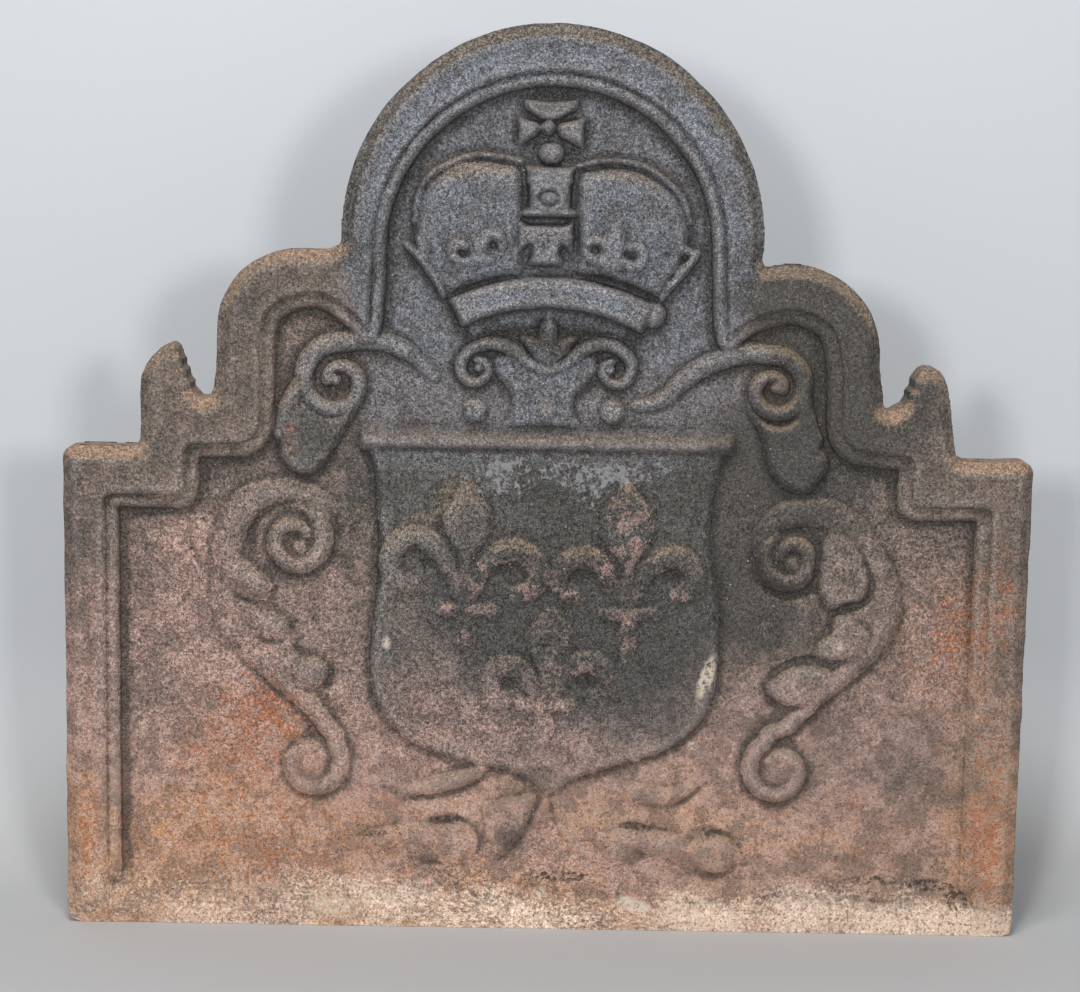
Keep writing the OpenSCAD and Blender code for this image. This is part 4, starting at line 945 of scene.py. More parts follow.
for _ in range(4):
    sumX, sumZ, count = np.zeros(shape), np.zeros(shape), np.zeros(shape)
    for axis in (0, 1):
        # a lattice edge lies on a border where the two cells beside it have different owners
        beside = padded[1:-1, :-1] != padded[1:-1, 1:]
        if axis == 1:
            beside = padded[:-1, 1:-1] != padded[1:, 1:-1]
        for step in (1, -1):
            full = np.zeros(shape, bool)
            if axis == 0:
                full[slice(None, -1) if step == 1 else slice(1, None)] = beside
            else:
                full[:, slice(None, -1) if step == 1 else slice(1, None)] = beside
            sumX += np.where(full, np.roll(pointX, -step, axis), 0.0)
            sumZ += np.where(full, np.roll(pointZ, -step, axis), 0.0)
            count += full
    movable = touchesTwo & (count > 0)
    middleX, middleZ = sumX / np.maximum(count, 1), sumZ / np.maximum(count, 1)
    evenX = np.clip(0.5 * (pointX + middleX), gridX - 0.46 * stepX, gridX + 0.46 * stepX)
    evenZ = np.clip(0.5 * (pointZ + middleZ), gridZ - 0.46 * stepZ, gridZ + 0.46 * stepZ)
    pointX, pointZ = np.where(movable, evenX, pointX), np.where(movable, evenZ, pointZ)


def sampled(values):
    fx = np.clip((pointX - columnX[0]) / stepX, 0, len(columnX) - 1.001)
    fz = np.clip(pointZ / stepZ, 0, len(rowZ) - 1.001)
    ix, iz = fx.astype(int), fz.astype(int)
    tx, tz = fx - ix, fz - iz
    return (
        (values[iz, ix] * (1 - tx) + values[iz, ix + 1] * tx) * (1 - tz)
        + (values[iz + 1, ix] * (1 - tx) + values[iz + 1, ix + 1] * tx) * tz)


height = np.where(
    touchesOut & ~onBottom, np.clip(edgeRise + 0.5 * lumps(4, 33), 2.5, 10.4), sampled(relief))
height = np.maximum(height, leastHeight)
print("cells", int(cellInside.sum()))

# colour masks, from place and shape; each patch is x, z, two radii, strength and, where it leans, its tilt
patches = {
    "rust": [(-208, 130, 46, 46, 0.68), (-170, 150, 34, 24, 0.5, -30), (-255, 65, 66, 40, 0.46),
             (-308, 80, 14, 84, 0.5), (-150, 92, 50, 34, 0.2), (-170, 40, 70, 22, 0.45),
             (110, 96, 60, 22, 0.3), (-90, 70, 90, 30, 0.35), (300, 70, 22, 70, 0.7),
             (215, 70, 80, 36, 0.4), (250, 190, 40, 60, 0.45), (278, 215, 18, 50, 0.5),
             (304, 230, 14, 60, 0.45), (-70, 512, 16, 8, 0.35), (-80, 590, 40, 12, 0.4, 35),
             (175, 449, 24, 6, 0.5, -15), (-170, 340, 10, 36, 0.4)],
    "soot": [(172, 452, 46, 12, 0.5), (-40, 205, 30, 34, 0.6), (20, 205, 50, 34, 0.3),
             (200, 300, 34, 44, 0.5), (-114, 300, 20, 24, 0.5), (214, 415, 32, 44, 0.65),
             (220, 370, 24, 30, 0.4), (-190, 425, 44, 34, 0.45), (-112, 448, 26, 40, 0.35),
             (190, 325, 22, 22, 0.35), (150, 212, 28, 28, 0.4), (40, 240, 50, 24, 0.3),
             (0, 336, 128, 9, 0.25), (20, 248, 102, 66, 0.75), (54, 180, 60, 44, 0.66),
             (20, 303, 100, 16, 0.55), (140, 262, 34, 62, 0.85), (164, 392, 30, 34, 0.7),
             (150, 330, 44, 40, 0.8), (-150, 345, 26, 44, 0.35), (0, 460, 110, 60, 0.3),
             (-265, 250, 9, 26, 0.5), (-308, 255, 8, 50, 0.35), (240, 110, 34, 18, 0.42, -20),
             (186, 104, 16, 24, 0.35), (-6, 106, 30, 10, 0.4), (150, 430, 40, 20, 0.7),
             (198, 395, 30, 52, 0.85), (238, 358, 26, 34, 0.65), (160, 322, 30, 26, 0.5),
             (-160, 325, 26, 24, 0.2), (-22, 66, 15, 20, 0.65), (-80, 46, 14, 6, 0.55),
             # the soot row at 0, 400 is painted shadow under the crown's lining
             (116, 52, 15, 12, 0.35), (74, 56, 22, 9, 0.2), (-90, 230, 30, 36, 0.15), (0, 400, 70, 14, 0.6),
             (-156, 100, 13, 14, 0.45), (-132, 270, 12, 36, 0.4)],
    "char": [(12, 36, 24, 3.4, 0.9), (64, 71, 14, 3, 0.8, -8), (114, 69, 8, 4, 0.8),
             (224, 37, 18, 3.4, 0.8), (262, 34, 14, 4, 0.9), (282, 24, 9, 7, 1.0, -40),
             (-112, 64, 18, 3, 0.5, 8), (-64, 74, 16, 3, 0.7), (150, 24, 12, 8, 0.4),
             (-92, 88, 12, 2.5, 0.3)],
    "lime": [(108, 176, 5, 17, 0.9, -18), (100, 128, 5, 5, 0.6), (-106, 196, 4, 6, 0.6),
             (62, 17, 14, 5, 0.9, -14), (62, 119, 5, 4, 0.5), (-1, 24, 5, 5, 0.7),
             (195, 198, 7, 6, 0.5, 40), (-190, 24, 40, 7, 0.35), (-140, 12, 24, 10, 0.5)],
    "flake": [(30, 314, 66, 15, 1.0), (-38, 308, 20, 17, 0.85), (-12, 280, 12, 12, 0.5),
              (26, 296, 16, 14, 0.5), (48, 272, 22, 14, 0.55), (-60, 270, 18, 16, 0.4),
              (0, 190, 60, 20, 0.36), (-84, 160, 40, 50, 0.3), (50, 340, 60, 14, 0.35),
              (200, 240, 30, 40, 0.28), (-230, 260, 40, 40, 0.25)],
    "petal": [(-20, 238, 18, 12, 1.0), (18, 234, 12, 6, 1.0), (86, 230, 12, 7, 1.0), (56, 270, 20, 20, 1.0),
              (-40, 245, 16, 14, 1.0), (24, 176, 20, 9, 1.0), (-30, 174, 16, 8, 1.0), (68, 244, 7, 12, 1.0),
              (38, 244, 6, 12, 1.0), (58, 214, 18, 5, 1.0), (-54, 218, 20, 5, 1.0), (-56, 200, 6, 12, 1.0),
              (56, 192, 6, 10, 1.0)],
    "ash": [(-232, 260, 54, 56, 0.32), (-250, 195, 60, 30, 0.28), (-145, 240, 26, 30, 0.25),
            (270, 210, 36, 46, 0.28), (122, 160, 40, 28, 0.05), (-226, 268, 40, 28, 0.28),
            (-160, 62, 70, 20, 0.3), (-126, 62, 34, 16, 0.45), (130, 62, 46, 16, 0.45)],
    "dust": [(-226, 352, 10, 8, 0.45), (226, 352, 12, 9, 0.6), (-60, 298, 13, 12, 0.8),
             (-88, 274, 24, 9, 0.7, 34), (-20, 264, 20, 5, 0.5), (84, 264, 22, 5, 0.4),
             (54, 302, 8, 14, 0.35), (150, 372, 18, 18, 0.55), (20, 262, 16, 5, 0.35),
             (-56, 510, 34, 8, 0.6), (54, 506, 24, 6, 0.35)],
    "smooth": [(160, 350, 40, 70, 0.8), (-160, 330, 30, 40, 0.3), (0, 90, 120, 30, 0.5)],
    "shine": [(-8, 460, 32, 36, 0.9), (0, 442, 80, 22, 0.35)],
}
masks = {name: sum(strength * spot(x, z, rx, rz, *tilt) for x, z, rx, rz, strength, *tilt in rows)
         for name, rows in patches.items()}


def ownedBy(*names):
    return np.isin(owner, [nodeNames.index(name) for name in names])


crownReach = np.hypot(gridX, (gridZ - 462) * 0.92)
crownZone = smoothStep((152 - crownReach) / 34.0) * smoothStep((gridZ - 350) / 40.0)
bracketZone = smoothStep((150 - np.abs(gridX)) / 40.0) * smoothStep((gridZ - 296) / 40.0)
bracketZone = bracketZone * smoothStep((470 - gridZ) / 40)
lowZone = smoothStep((318 - gridZ + 22 * lumps(60, 24)) / 270.0)
leftFoot = smoothStep((-gridX - 90) / 40.0)
onLedge = (np.abs(gridX) < 126) & (gridZ > 320) & (gridZ < 347)
masks["petal"] = ownedBy(*fleurs) * (0.2 + 0.85 * masks["petal"])
masks["graphite"] = np.maximum(crownZone, 0.72 * bracketZone)
masks["graphite"] *= 1.0 - 0.85 * smoothStep((12.5 - edgeDist) / 6.0)
ashSpread = lowZone * (1.0 - 0.28 * ownedBy("shield")) * (1.0 - 0.3 * smoothStep((gridX + 40) / 260.0))
masks["ash"] += ashSpread * (1.0 - 0.5 * np.clip(masks["soot"], 0, 1))
masks["warm"] = (
    smoothStep((165 - gridZ + 26 * lumps(50, 41)) / 120.0) * (0.75 + 0.35 * lumps(34, 42))
    + 0.5 * smoothStep((gridX - 262) / 20.0) * smoothStep((330 - gridZ) / 120.0))
masks["warm"] *= (1.0 - 0.6 * spot(50, 48, 110, 30)) * (1.0 - 0.5 * spot(205, 95, 64, 34))
crustReach = smoothStep((44 + 12 * leftFoot - gridZ + 10 * lumps(40, 25)) / 30.0)
masks["crust"] = crustReach * (0.75 + 0.35 * lumps(26, 26)) * (1.0 - 0.28 * leftFoot)
bevelDust = (
    smoothStep((11.0 - edgeDist) / 6.0) * ((gridZ > 306) & (gridZ < 470)) * np.clip(-insetZ, 0.0, 1.0)
    * (1.0 - 0.75 * spot(172, 448, 50, 20)))
masks["bevel"] = bevelDust * (1.0 - 0.5 * smoothStep((gridZ - 350) / 20.0))
masks["dust"] += (
    upward * (1.0 - 0.55 * crownZone) + 0.9 * bevelDust
    + 0.22 * smoothStep((6.0 - np.abs(gridZ - 332)) / 4.0) * (np.abs(gridX) < 122)
    + 0.2 * crownZone * smoothStep((13.5 - edgeDist) / 5.0))
masks["dust"] *= 1.0 - 0.5 * onLedge
# painted shade in hollows is weaker near the edge, on the right side, in the rim's foot and in the middle
# of the crown
fade = smoothStep((edgeDist - 5.0) / 12.0)
fade *= 1.0 - 0.5 * smoothStep((gridX - 250) / 10.0) * smoothStep((400 - gridZ) / 20.0)
fade *= 1.0 - smoothStep((34 - gridZ) / 16.0) * (np.abs(gridX) > 255)
fade *= (1.0 - 0.4 * spot(-2, 458, 60, 44)) * (1.0 - 0.55 * spot(-6, 456, 30, 36))
masks["creaseShadeAndRub"] = 0.5 + 0.5 * np.where(hollow > 0, hollow * fade, hollow)
shining = ownedBy(
    "crown_circlet", "fleuron_left", "fleuron_right", "half_fleuron_left", "half_fleuron_right",
    "circlet_cross", "crown_jewel")
archShine = ownedBy("arch_rim") * smoothStep((gridZ - 450) / 70.0) * smoothStep((edgeDist - 12) / 8.0)
masks["shine"] = crownZone * (masks["shine"] + 0.5 * shining + 0.85 * archShine)
masks["soot"] += crownZone * smoothStep((11.0 - edgeDist) / 5.0)
calmLow = 0.9 * smoothStep((gridX - 10) / 130.0) + 0.35 * smoothStep((-gridX - 60) / 60.0)
masks["smooth"] += calmLow * lowZone + 0.5 * smoothStep((170 - gridZ) / 90.0)
masks = {name: np.clip(values, 0.0, 1.0) for name, values in masks.items()}
print("masks", len(masks))


# meshes
def quadBlocks(mask, fixed):
    # covers a mask of cells with squares as large as they go
    free = mask & ~fixed
    blocks = []
    for size in (16, 8, 4, 2):
        rows, columns = free.shape[0] // size, free.shape[1] // size
        cut = free[:rows * size, :columns * size].reshape(rows, size, columns, size).all(axis=(1, 3))
        for j, i in zip(*np.nonzero(cut)):
            blocks.append((j * size, i * size, size))
            free[j * size:(j + 1) * size, i * size:(i + 1) * size] = False
    return blocks, (mask & fixed) | free


def faceList(mask, fixed):
    blocks, single = quadBlocks(mask, fixed)
    used = np.zeros(shape, bool)
    js, columns = np.nonzero(single)
    for dj in (0, 1):
        for di in (0, 1):
            used[js + dj, columns + di] = True
    for j, i, size in blocks:
        for dj in (0, size):
            for di in (0, size):
                used[j + dj, i + di] = True
    wide = shape[1]
    first = js * wide + columns
    quads = np.stack([first, first + 1, first + wide + 1, first + wide], 1)
    extra = []
    for j, i, size in blocks:
        ring = [(j, i + k) for k in range(size)] + [(j + k, i + size) for k in range(size)]
        ring += [(j + size, i + size - k) for k in range(size)] + [(j + size - k, i) for k in range(size)]
        ring = [a * wide + b for a, b in ring if used[a, b]]
        if len(ring) == 4:
            extra.append(ring)
        else:
            middle = (j + size // 2) * wide + i + size // 2
            extra += [[ring[k], ring[(k + 1) % len(ring)], middle] for k in range(len(ring))]
    return quads, extra


def borderEdges(mask):
    m = np.pad(mask, 1)
    wide = shape[1]
    rows = []
    js, columns = np.nonzero(m[1:, 1:-1] & ~m[:-1, 1:-1])  # the piece's cell is above the edge
    rows.append(np.stack([js * wide + columns, js * wide + columns + 1], 1))
    js, columns = np.nonzero(~m[1:, 1:-1] & m[:-1, 1:-1])  # below
    rows.append(np.stack([js * wide + columns + 1, js * wide + columns], 1))
    js, columns = np.nonzero(m[1:-1, 1:] & ~m[1:-1, :-1])  # to the right
    rows.append(np.stack([(js + 1) * wide + columns, js * wide + columns], 1))
    js, columns = np.nonzero(~m[1:-1, 1:] & m[1:-1, :-1])  # to the left
    rows.append(np.stack([js * wide + columns, (js + 1) * wide + columns], 1))
    return np.concatenate(rows)


def pointsOf(cells):
    near = np.zeros(shape, bool)
    js, columns = np.nonzero(cells)
    for dj in (0, 1):
        for di in (0, 1):
            near[js + dj, columns + di] = True
    return near


def buildPiece(node, own, covered, floorHeight, coverHeight, slotName):
    # front surface from the lattice, walls down to the seat, flat back; one closed mesh
    mask = own | covered
    near = pointsOf(own)
    edges = borderEdges(mask)
    onBorder = np.zeros(shape, bool)
    onBorder.flat[np.unique(edges)] = True
    topQuads, topExtra = faceList(mask, corners(near).any(axis=0))
    backQuads, backExtra = faceList(mask, corners(onBorder).any(axis=0))
    topY = plate["front"] - np.where(near, height, coverHeight)
    count = gridX.size
    if node == "base_plate":
        pull = np.where(onBorder, 0.6 * plate["backChamfer"], 0.0)
        rings = [
            (pointX, np.full(shape, plate["front"]), pointZ),
            (pointX, np.full(shape, plate["back"] - plate["backChamfer"]), pointZ),
            (pointX + pull * insetX, np.full(shape, plate["back"]), pointZ + pull * insetZ)]
    else:
        rings = [(pointX, np.full(shape, plate["front"] - floorHeight), pointZ)]
    layers = [(pointX, topY, pointZ)] + rings
    verts = np.concatenate([np.stack([c.ravel() for c in layer], 1) for layer in layers])
    last = len(rings) * count
    faces = topQuads.tolist() + topExtra + (backQuads[:, ::-1] + last).tolist()
    faces += [[v + last for v in reversed(face)] for face in backExtra]
    for ring in range(len(rings)):
        a, b = edges[:, 0] + ring * count, edges[:, 1] + ring * count
        faces += np.stack([a, a + count, b + count, b], 1).tolist()
    sizes = np.array([len(face) for face in faces])
    usedIds, flat = np.unique(np.array([v for face in faces for v in face]), return_inverse=True)
    mesh = bpy.data.meshes.new(node)
    mesh.vertices.add(len(usedIds))
    mesh.vertices.foreach_set("co", (verts[usedIds] * metres).astype(np.float32).ravel())
    mesh.loops.add(flat.size)
    mesh.loops.foreach_set("vertex_index", flat.ravel().astype(np.int32))
    mesh.polygons.add(len(sizes))
    mesh.polygons.foreach_set("loop_start", np.concatenate([[0], np.cumsum(sizes)[:-1]]).astype(np.int32))
    mesh.polygons.foreach_set("loop_total", sizes.astype(np.int32))
    mesh.update(calc_edges=True)
    mesh.polygons.foreach_set("use_smooth", np.ones(len(sizes), bool))
    mesh.set_sharp_from_angle(angle=math.radians(60))
    for maskName, values in masks.items():
        data = values.ravel()[usedIds % count]
        if maskName == "creaseShadeAndRub":
            data = np.where(usedIds < count, data, 0.45)
        mesh.attributes.new(maskName, "FLOAT", "POINT").data.foreach_set("value", data.astype(np.float32))
    piece = bpy.data.objects.new("cast_" + node, mesh)
    bpy.context.scene.collection.objects.link(piece)
    mesh.materials.append(materials[slotName])
    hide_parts(node)
    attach(piece, "root")
    return piece


# materials: one shared skin of worn cast iron; each slot sets its own base colour and grain
# the hollow tone is painted shade for creases and recesses; the rubbed tone is partly wear and partly
# painted highlight on raised places
tones = {"stain": (0.085, 0.068, 0.06), "ashCool": (0.43, 0.265, 0.222), "ashWarm": (0.54, 0.305, 0.175),
         "ashPale": (0.52, 0.36, 0.3), "graphite": (0.138, 0.147, 0.166), "shine": (0.215, 0.23, 0.265),
         "soot": (0.056, 0.055, 0.05), "scab": (0.062, 0.052, 0.045), "paleScab": (0.5, 0.36, 0.3),
         "petal": (0.3, 0.195, 0.172), "rustStain": (0.47, 0.25, 0.15), "rust": (0.38, 0.115, 0.04),
         "dust": (0.215, 0.16, 0.112), "bevel": (0.36, 0.23, 0.155), "crust": (0.8, 0.62, 0.49),
         "crustSpeck": (0.26, 0.1, 0.045), "hollow": (0.026, 0.023, 0.02), "rubAndHighlight": (0.34, 0.3, 0.275),
         "char": (0.03, 0.024, 0.02), "fleck": (0.6, 0.57, 0.54), "sparkle": (0.46, 0.44, 0.43),
         "flake": (0.3, 0.295, 0.31), "lime": (0.62, 0.53, 0.42)}


def makeIronSkin():
    group = bpy.data.node_groups.new("ironSkin", "ShaderNodeTree")
    number, shade = "NodeSocketFloat", "NodeSocketColor"
    inputs = (("Base", shade, (0.2, 0.16, 0.14, 1)), ("Sparkle", number, 0.5), ("Grain", number, 1.0))
    for name, kind, default in inputs:
        group.interface.new_socket(name, in_out="INPUT", socket_type=kind).default_value = default
    for name, kind in (("Color", shade), ("Roughness", number), ("Metallic", number), ("Height", number)):
        group.interface.new_socket(name, in_out="OUTPUT", socket_type=kind)
    nodes, links = group.nodes, group.links
    source = nodes.new("NodeGroupInput")
    sink = nodes.new("NodeGroupOutput")
    place = nodes.new("ShaderNodeTexCoord").outputs["Object"]

    def noise(scale, detail=4.0, rough=0.6):
        node = nodes.new("ShaderNodeTexNoise")
        links.new(place, node.inputs["Vector"])
        node.inputs["Scale"].default_value = scale
        node.inputs["Detail"].default_value = detail
        node.inputs["Roughness"].default_value = rough
        return node.outputs["Fac"]

    def ramp(value, low, high, toLow=0.0, toHigh=1.0):
        node = nodes.new("ShaderNodeMapRange")
        node.interpolation_type = "SMOOTHSTEP"
        links.new(value, node.inputs["Value"])
        for key, number in (("From Min", low), ("From Max", high), ("To Min", toLow), ("To Max", toHigh)):
            node.inputs[key].default_value = number
        return node.outputs["Result"]

    def calc(kind, a, b):
        node = nodes.new("ShaderNodeMath")
        node.operation = kind
        for k, v in enumerate((a, b)):
            if isinstance(v, (int, float)):
                node.inputs[k].default_value = v
            else:
                links.new(v, node.inputs[k])
        return node.outputs[0]

    def times(a, b):
        return calc("MULTIPLY", a, b)

    def mix(factor, a, b, kind="MIX"):
        node = nodes.new("ShaderNodeMix")
        node.data_type = "RGBA"
        node.blend_type = kind
        for socket, v in ((node.inputs["Factor"], factor), (node.inputs["A"], a), (node.inputs["B"], b)):
            if isinstance(v, (int, float)):
                socket.default_value = v
            elif isinstance(v, tuple):
                socket.default_value = (*v, 1.0)
            else:
                links.new(v, socket)
        return next(o for o in node.outputs if o.type == "RGBA")

    def read(name):
        node = nodes.new("ShaderNodeAttribute")
        node.attribute_name = name
        return node.outputs["Fac"]

    def patch(name, noiseValue, amount, low, high):
        # a painted mask broken up by noise
        return ramp(calc("ADD", read(name), times(calc("SUBTRACT", noiseValue, 0.5), amount)), low, high)

    def cells(scale):
        node = nodes.new("ShaderNodeTexVoronoi")
        links.new(place, node.inputs["Vector"])
        node.inputs["Scale"].default_value = scale
        return node.outputs["Distance"]

    fine, sand = noise(1000.0, 2.0, 0.6), noise(430.0, 4.0, 0.75)
    mottle, cloud = noise(95.0, 5.0, 0.65), noise(22.0, 4.0, 0.6)
    speckle = noise(260.0, 5.0, 0.75)
    pit = ramp(cells(420.0), 0.34, 0.12)

    graphite = times(read("graphite"), ramp(mottle, 0.2, 0.55, 0.7, 1.0))
    ash = patch("ash", cloud, 0.9, 0.1, 1.0)
    rustArea = patch("rust", mottle, 1.4, 0.1, 1.3)
    crowded = calc("ADD", noise(360.0, 4.0, 0.7), times(rustArea, 0.24))
    rust = times(ramp(rustArea, 0.02, 0.2), ramp(crowded, 0.62, 0.67))  # specks crowd in a strong mask
    soot = patch("soot", mottle, 0.9, 0.15, 0.85)
    crust = patch("crust", noise(420.0, 5.0, 0.8), 2.6, 0.35, 0.9)
    crustSpeck = times(read("crust"), ramp(noise(330.0, 3.0, 0.6), 0.54, 0.66))
    dust = patch("dust", sand, 0.9, 0.15, 0.9)
    bevel = patch("bevel", speckle, 1.2, 0.1, 0.8)
    char = times(ramp(read("char"), 0.15, 0.5), ramp(speckle, 0.44, 0.56))
    lime = times(ramp(read("lime"), 0.2, 0.6), ramp(speckle, 0.4, 0.54))
    flake = times(patch("flake", noise(200.0, 5.0, 0.72), 3.8, 0.8, 1.05), ramp(speckle, 0.4, 0.54))
    petal = times(read("petal"), ramp(noise(105.0, 5.0, 0.72), 0.5, 0.54))
    scabNoise = noise(64.0, 7.0, 0.74)
    scab = ramp(scabNoise, 0.5, 0.525)  # crisp-edged flaking
    paleScab = times(ramp(scabNoise, 0.43, 0.41), ramp(ash, 0.1, 0.7))
    # painted shade: creases and recesses are darkened towards the dark hollow tone
    paintedCreaseShade = ramp(read("creaseShadeAndRub"), 0.52, 0.88)
    # raised places are lightened, partly rubbed wear and partly painted highlight
    rubAndHighlight = times(ramp(read("creaseShadeAndRub"), 0.46, 0.1), calc("SUBTRACT", 1.0, soot))
    fleck = times(ramp(cells(150.0), 0.09, 0.06), ramp(speckle, 0.5, 0.6))
    sparkle = times(ramp(fine, 0.63, 0.72), source.outputs["Sparkle"])

    ashColour = mix(patch("warm", mottle, 0.8, 0.0, 1.0), tones["ashCool"], tones["ashWarm"])
    ashColour = mix(ramp(noise(170.0, 4.0, 0.7), 0.45, 0.62, 0.0, 0.55), ashColour, tones["ashPale"])
    # colour layers: stains, rust, soot, ash and dust, and with them the painted crease shade, the shine and
    # the rubbed tone that is partly painted highlight
    stainsAndPaintedLight = (
        (ramp(mottle, 0.42, 0.7), 0.55, tones["stain"]), (ash, 0.88, ashColour),
        (graphite, 0.92, tones["graphite"]), (read("shine"), 0.5, tones["shine"]),
        (soot, 0.86, tones["soot"]), (scab, 0.42, tones["scab"]), (paleScab, 0.3, tones["paleScab"]),
        (petal, 0.75, tones["petal"]), (rustArea, 0.4, tones["rustStain"]), (rust, 0.62, tones["rust"]),
        (dust, 0.62, tones["dust"]), (bevel, 0.6, tones["bevel"]), (crust, 0.85, tones["crust"]),
        (crustSpeck, 0.7, tones["crustSpeck"]), (paintedCreaseShade, 0.72, tones["hollow"]),
        (rubAndHighlight, 0.24, tones["rubAndHighlight"]), (char, 0.85, tones["char"]))
    flecked = (
        (fleck, 0.7, tones["fleck"]), (sparkle, 0.55, tones["sparkle"]), (flake, 0.7, tones["flake"]),
        (lime, 0.85, tones["lime"]))

    colour = source.outputs["Base"]
    for mask, strength, tone in stainsAndPaintedLight:
        colour = mix(times(mask, strength), colour, tone)
    # sand grain: dark pits and light points over the stains
    grain = times(ramp(sand, 0.32, 0.68, 0.52, 1.5), ramp(fine, 0.32, 0.7, 0.6, 1.42))
    calm = times(source.outputs["Grain"], calc("SUBTRACT", 1.0, times(read("smooth"), 0.6)))
    grain = calc("ADD", 1.0, times(calc("SUBTRACT", grain, 1.0), calm))
    grain = times(grain, calc("SUBTRACT", 1.0, times(pit, 0.45)))
    grey = nodes.new("ShaderNodeCombineColor")
    for key in ("Red", "Green", "Blue"):
        links.new(grain, grey.inputs[key])
    colour = mix(1.0, colour, grey.outputs["Color"], "MULTIPLY")
    for mask, strength, tone in flecked:
        colour = mix(times(mask, strength), colour, tone)
    links.new(colour, sink.inputs["Color"])
    links.new(ramp(fine, 0.35, 0.7, 0.82, 0.58), sink.inputs["Roughness"])
    links.new(times(times(graphite, 0.3), ramp(sand, 0.35, 0.6)), sink.inputs["Metallic"])
    roughRise = calc("ADD", times(fine, 0.3), times(sand, 0.9))
    links.new(calc("SUBTRACT", roughRise, times(pit, 0.35)), sink.inputs["Height"])
    return group


finishes = {
    "iron_graphite": {"base": (0.148, 0.143, 0.147), "sparkle": 0.8, "grain": 1.25},
    "iron_rim": {"base": (0.175, 0.132, 0.108), "sparkle": 0.45, "grain": 1.0},
    "iron_field": {"base": (0.2, 0.15, 0.125), "sparkle": 0.45, "grain": 1.2},
    "iron_sooty": {"base": (0.106, 0.101, 0.096), "sparkle": 0.65, "grain": 1.3},
    "iron_rusty": {"base": (0.23, 0.165, 0.13), "sparkle": 0.3, "grain": 1.0},
}
castSurface = {"bump": 0.7, "depth": 0.0012, "specular": 0.35}
ironSkin = makeIronSkin()
materials = {}
for slotName, finish in finishes.items():
    material = bpy.data.materials.new(slotName)
    material.use_nodes = True
    tree = material.node_tree
    shader = tree.nodes["Principled BSDF"]
    skin = tree.nodes.new("ShaderNodeGroup")
    skin.node_tree = ironSkin
    skin.inputs["Base"].default_value = (*finish["base"], 1.0)
    skin.inputs["Sparkle"].default_value = finish["sparkle"]
    skin.inputs["Grain"].default_value = finish["grain"]
    bump = tree.nodes.new("ShaderNodeBump")
    bump.inputs["Strength"].default_value = castSurface["bump"]
    bump.inputs["Distance"].default_value = castSurface["depth"]
    shader.inputs["Specular IOR Level"].default_value = castSurface["specular"]
    tree.links.new(skin.outputs["Color"], shader.inputs["Base Color"])
    tree.links.new(skin.outputs["Roughness"], shader.inputs["Roughness"])
    tree.links.new(skin.outputs["Metallic"], shader.inputs["Metallic"])
    tree.links.new(skin.outputs["Height"], bump.inputs["Height"])
    tree.links.new(bump.outputs["Normal"], shader.inputs["Normal"])
    materials[slotName] = material
print("materials")

slots = {row["node"]: row["material_slot"] for row in frame["record"]["subparts"]}
for index, node in enumerate(nodeNames):
    own = cellOwner == index
    if not own.any():
        print("no cells for", node)
        continue
    members, level = carried.get(node, ([], 0.0))
    childIds = [nodeNames.index(child) for child in members]
    covered = (cellOwner > 0) if index == 0 else np.isin(cellOwner, childIds)
    buildPiece(node, own, covered, floors.get(node, 0.0), level, slots[node])
print("pieces", len(nodeNames))

# stage: a plain sweep whose curve starts behind the plate
stage = {"front": -2.4, "wallY": 0.2, "round": 0.16, "half": 3.0, "top": 3.0, "floor": (0.53, 0.53, 0.53),
         "wall": (0.585, 0.606, 0.63), "world": 0.165, "beyond": 0.6}
profile = [(stage["front"], 0.0), (-1.0, 0.0), (0.0, 0.0)]
for turn in np.radians(np.linspace(0, 90, 13)).tolist():
    profile.append(
        (stage["wallY"] - stage["round"] * (1 - math.sin(turn)), stage["round"] * (1 - math.cos(turn))))
profile.append((stage["wallY"], stage["top"]))
sweepVerts = [(side * stage["half"], y, z - 0.0002) for y, z in profile for side in (-1, 1)]
sweepFaces = [(2 * k, 2 * k + 1, 2 * k + 3, 2 * k + 2) for k in range(len(profile) - 1)]
sweepMesh = bpy.data.meshes.new("backdrop")
sweepMesh.from_pydata(sweepVerts, [], sweepFaces)
sweepMesh.polygons.foreach_set("use_smooth", [True] * len(sweepFaces))
sweep = bpy.data.objects.new("backdrop", sweepMesh)
bpy.context.scene.collection.objects.link(sweep)
paper = bpy.data.materials.new("paperSweep")
paper.use_nodes = True
paperNodes, paperLinks = paper.node_tree.nodes, paper.node_tree.links
where = paperNodes.new("ShaderNodeTexCoord")
split = paperNodes.new("ShaderNodeSeparateXYZ")
climb = paperNodes.new("ShaderNodeMapRange")
climb.interpolation_type = "SMOOTHSTEP"
climb.inputs["From Min"].default_value = 0.0
climb.inputs["From Max"].default_value = stage["round"]
blend = paperNodes.new("ShaderNodeMix")
blend.data_type = "RGBA"
blend.inputs["A"].default_value = (*stage["floor"], 1)
blend.inputs["B"].default_value = (*stage["wall"], 1)
paperLinks.new(where.outputs["Object"], split.inputs["Vector"])
paperLinks.new(split.outputs["Z"], climb.inputs["Value"])
paperLinks.new(climb.outputs["Result"], blend.inputs["Factor"])
paperShader = paperNodes["Principled BSDF"]
paperLinks.new(next(o for o in blend.outputs if o.type == "RGBA"), paperShader.inputs["Base Color"])
paperShader.inputs["Roughness"].default_value = 0.95
paperShader.inputs["Specular IOR Level"].default_value = 0.1
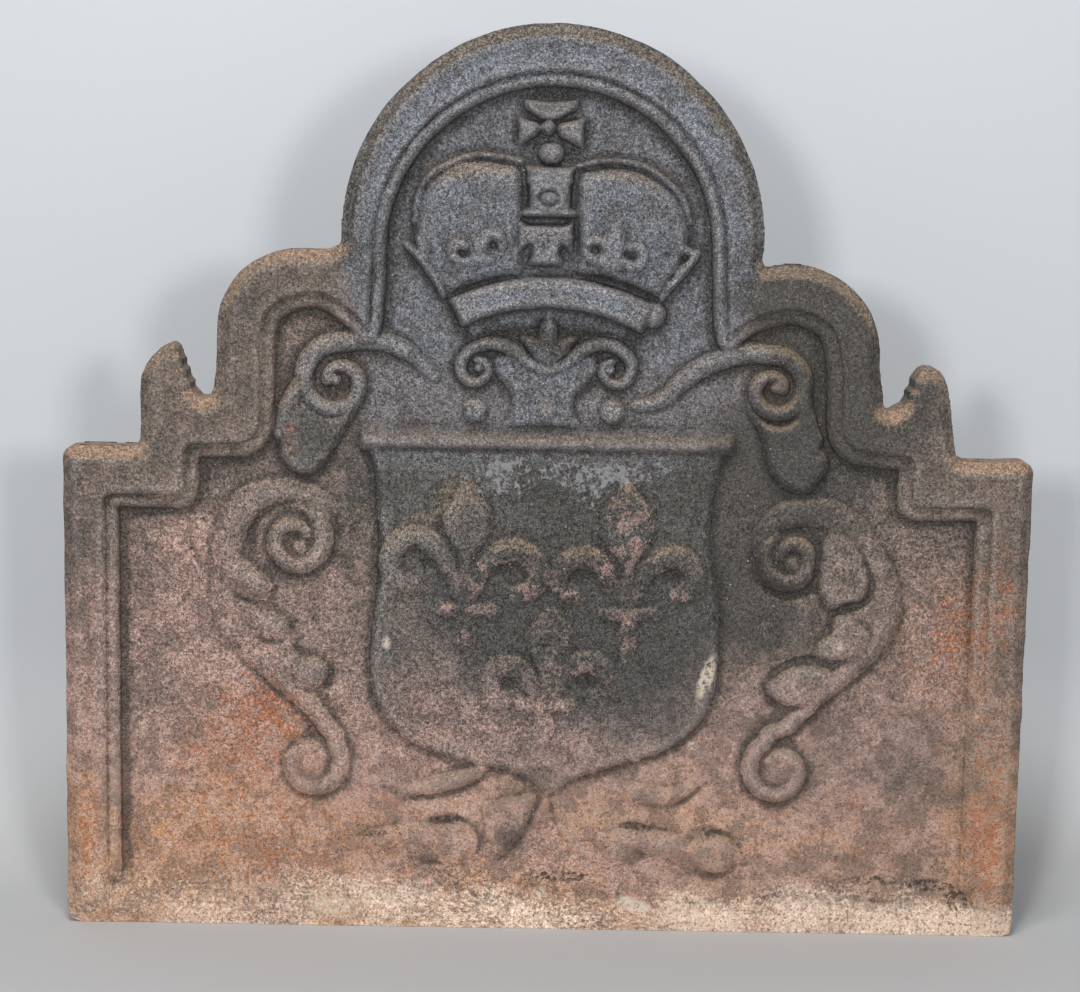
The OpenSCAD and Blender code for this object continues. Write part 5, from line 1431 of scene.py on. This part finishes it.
# from behind, the camera looks through the paper, so that it doesn't hide the plate's back
rays = paperNodes.new("ShaderNodeLightPath")
side = paperNodes.new("ShaderNodeNewGeometry")
behind = paperNodes.new("ShaderNodeMath")
behind.operation = "MULTIPLY"
clear = paperNodes.new("ShaderNodeBsdfTransparent")
choose = paperNodes.new("ShaderNodeMixShader")
paperLinks.new(rays.outputs["Is Camera Ray"], behind.inputs[0])
paperLinks.new(side.outputs["Backfacing"], behind.inputs[1])
paperLinks.new(behind.outputs["Value"], choose.inputs["Fac"])
paperLinks.new(paperShader.outputs["BSDF"], choose.inputs[1])
paperLinks.new(clear.outputs["BSDF"], choose.inputs[2])
paperLinks.new(choose.outputs["Shader"], paperNodes["Material Output"].inputs["Surface"])
sweepMesh.materials.append(paper)

cameraData = bpy.data.cameras.new("camera")
cameraData.sensor_width = 36.0
cameraData.lens = cameraData.sensor_width * view["focal"] / view["imageWidth"]
camera = bpy.data.objects.new("camera", cameraData)
bpy.context.scene.collection.objects.link(camera)
sp, cp = math.sin(view["pitch"]), math.cos(view["pitch"])
sy, cy = math.sin(view["yaw"]), math.cos(view["yaw"])
ahead = np.array([sy * cp, cy * cp, -sp])
right = np.array([cy, -sy, 0.0])
up = np.cross(right, ahead)
cr, sr = math.cos(view["roll"]), math.sin(view["roll"])
matrix = Matrix.Identity(4)
for column, axis in enumerate((cr * right + sr * up, -sr * right + cr * up, -ahead)):
    for row in range(3):
        matrix[row][column] = axis[row]
for row, key in enumerate(("x", "y", "z")):
    matrix[row][3] = view[key] * metres
camera.matrix_world = matrix
bpy.context.scene.camera = camera

# two low lamps in front make the soft shadows on the wall; the one above models the relief
lamps = {
    "left": {"at": (-0.55, -2.1, 0.75), "size": 0.28, "power": 18.0, "aim": (0, 0, 0.3)},
    "right": {"at": (0.6, -2.1, 0.7), "size": 0.28, "power": 15.0, "aim": (0, 0, 0.3)},
    "above": {"at": (-0.15, -0.75, 1.8), "size": 0.5, "power": 16.0, "aim": (0, 0, 0.25)},
}
for name, lamp in lamps.items():
    data = bpy.data.lights.new(name, "AREA")
    data.size = lamp["size"]
    data.energy = lamp["power"]
    light = bpy.data.objects.new(name, data)
    light.location = lamp["at"]
    light.rotation_euler = (Vector(lamp["aim"]) - Vector(lamp["at"])).to_track_quat("-Z", "Y").to_euler()
    bpy.context.scene.collection.objects.link(light)
world = bpy.data.worlds.new("studio")
world.use_nodes = True
skyNodes, skyLinks = world.node_tree.nodes, world.node_tree.links
skyNodes["Background"].inputs["Color"].default_value = (0.94, 0.97, 1.0, 1)
skyRays = skyNodes.new("ShaderNodeLightPath")
skyLevel = skyNodes.new("ShaderNodeMapRange")  # pale where the camera sees past the paper
skyLevel.inputs["To Min"].default_value = stage["world"]
skyLevel.inputs["To Max"].default_value = stage["beyond"]
skyLinks.new(skyRays.outputs["Is Camera Ray"], skyLevel.inputs["Value"])
skyLinks.new(skyLevel.outputs["Result"], skyNodes["Background"].inputs["Strength"])
bpy.context.scene.world = world
bpy.context.scene.view_settings.view_transform = "Standard"
print("stage")
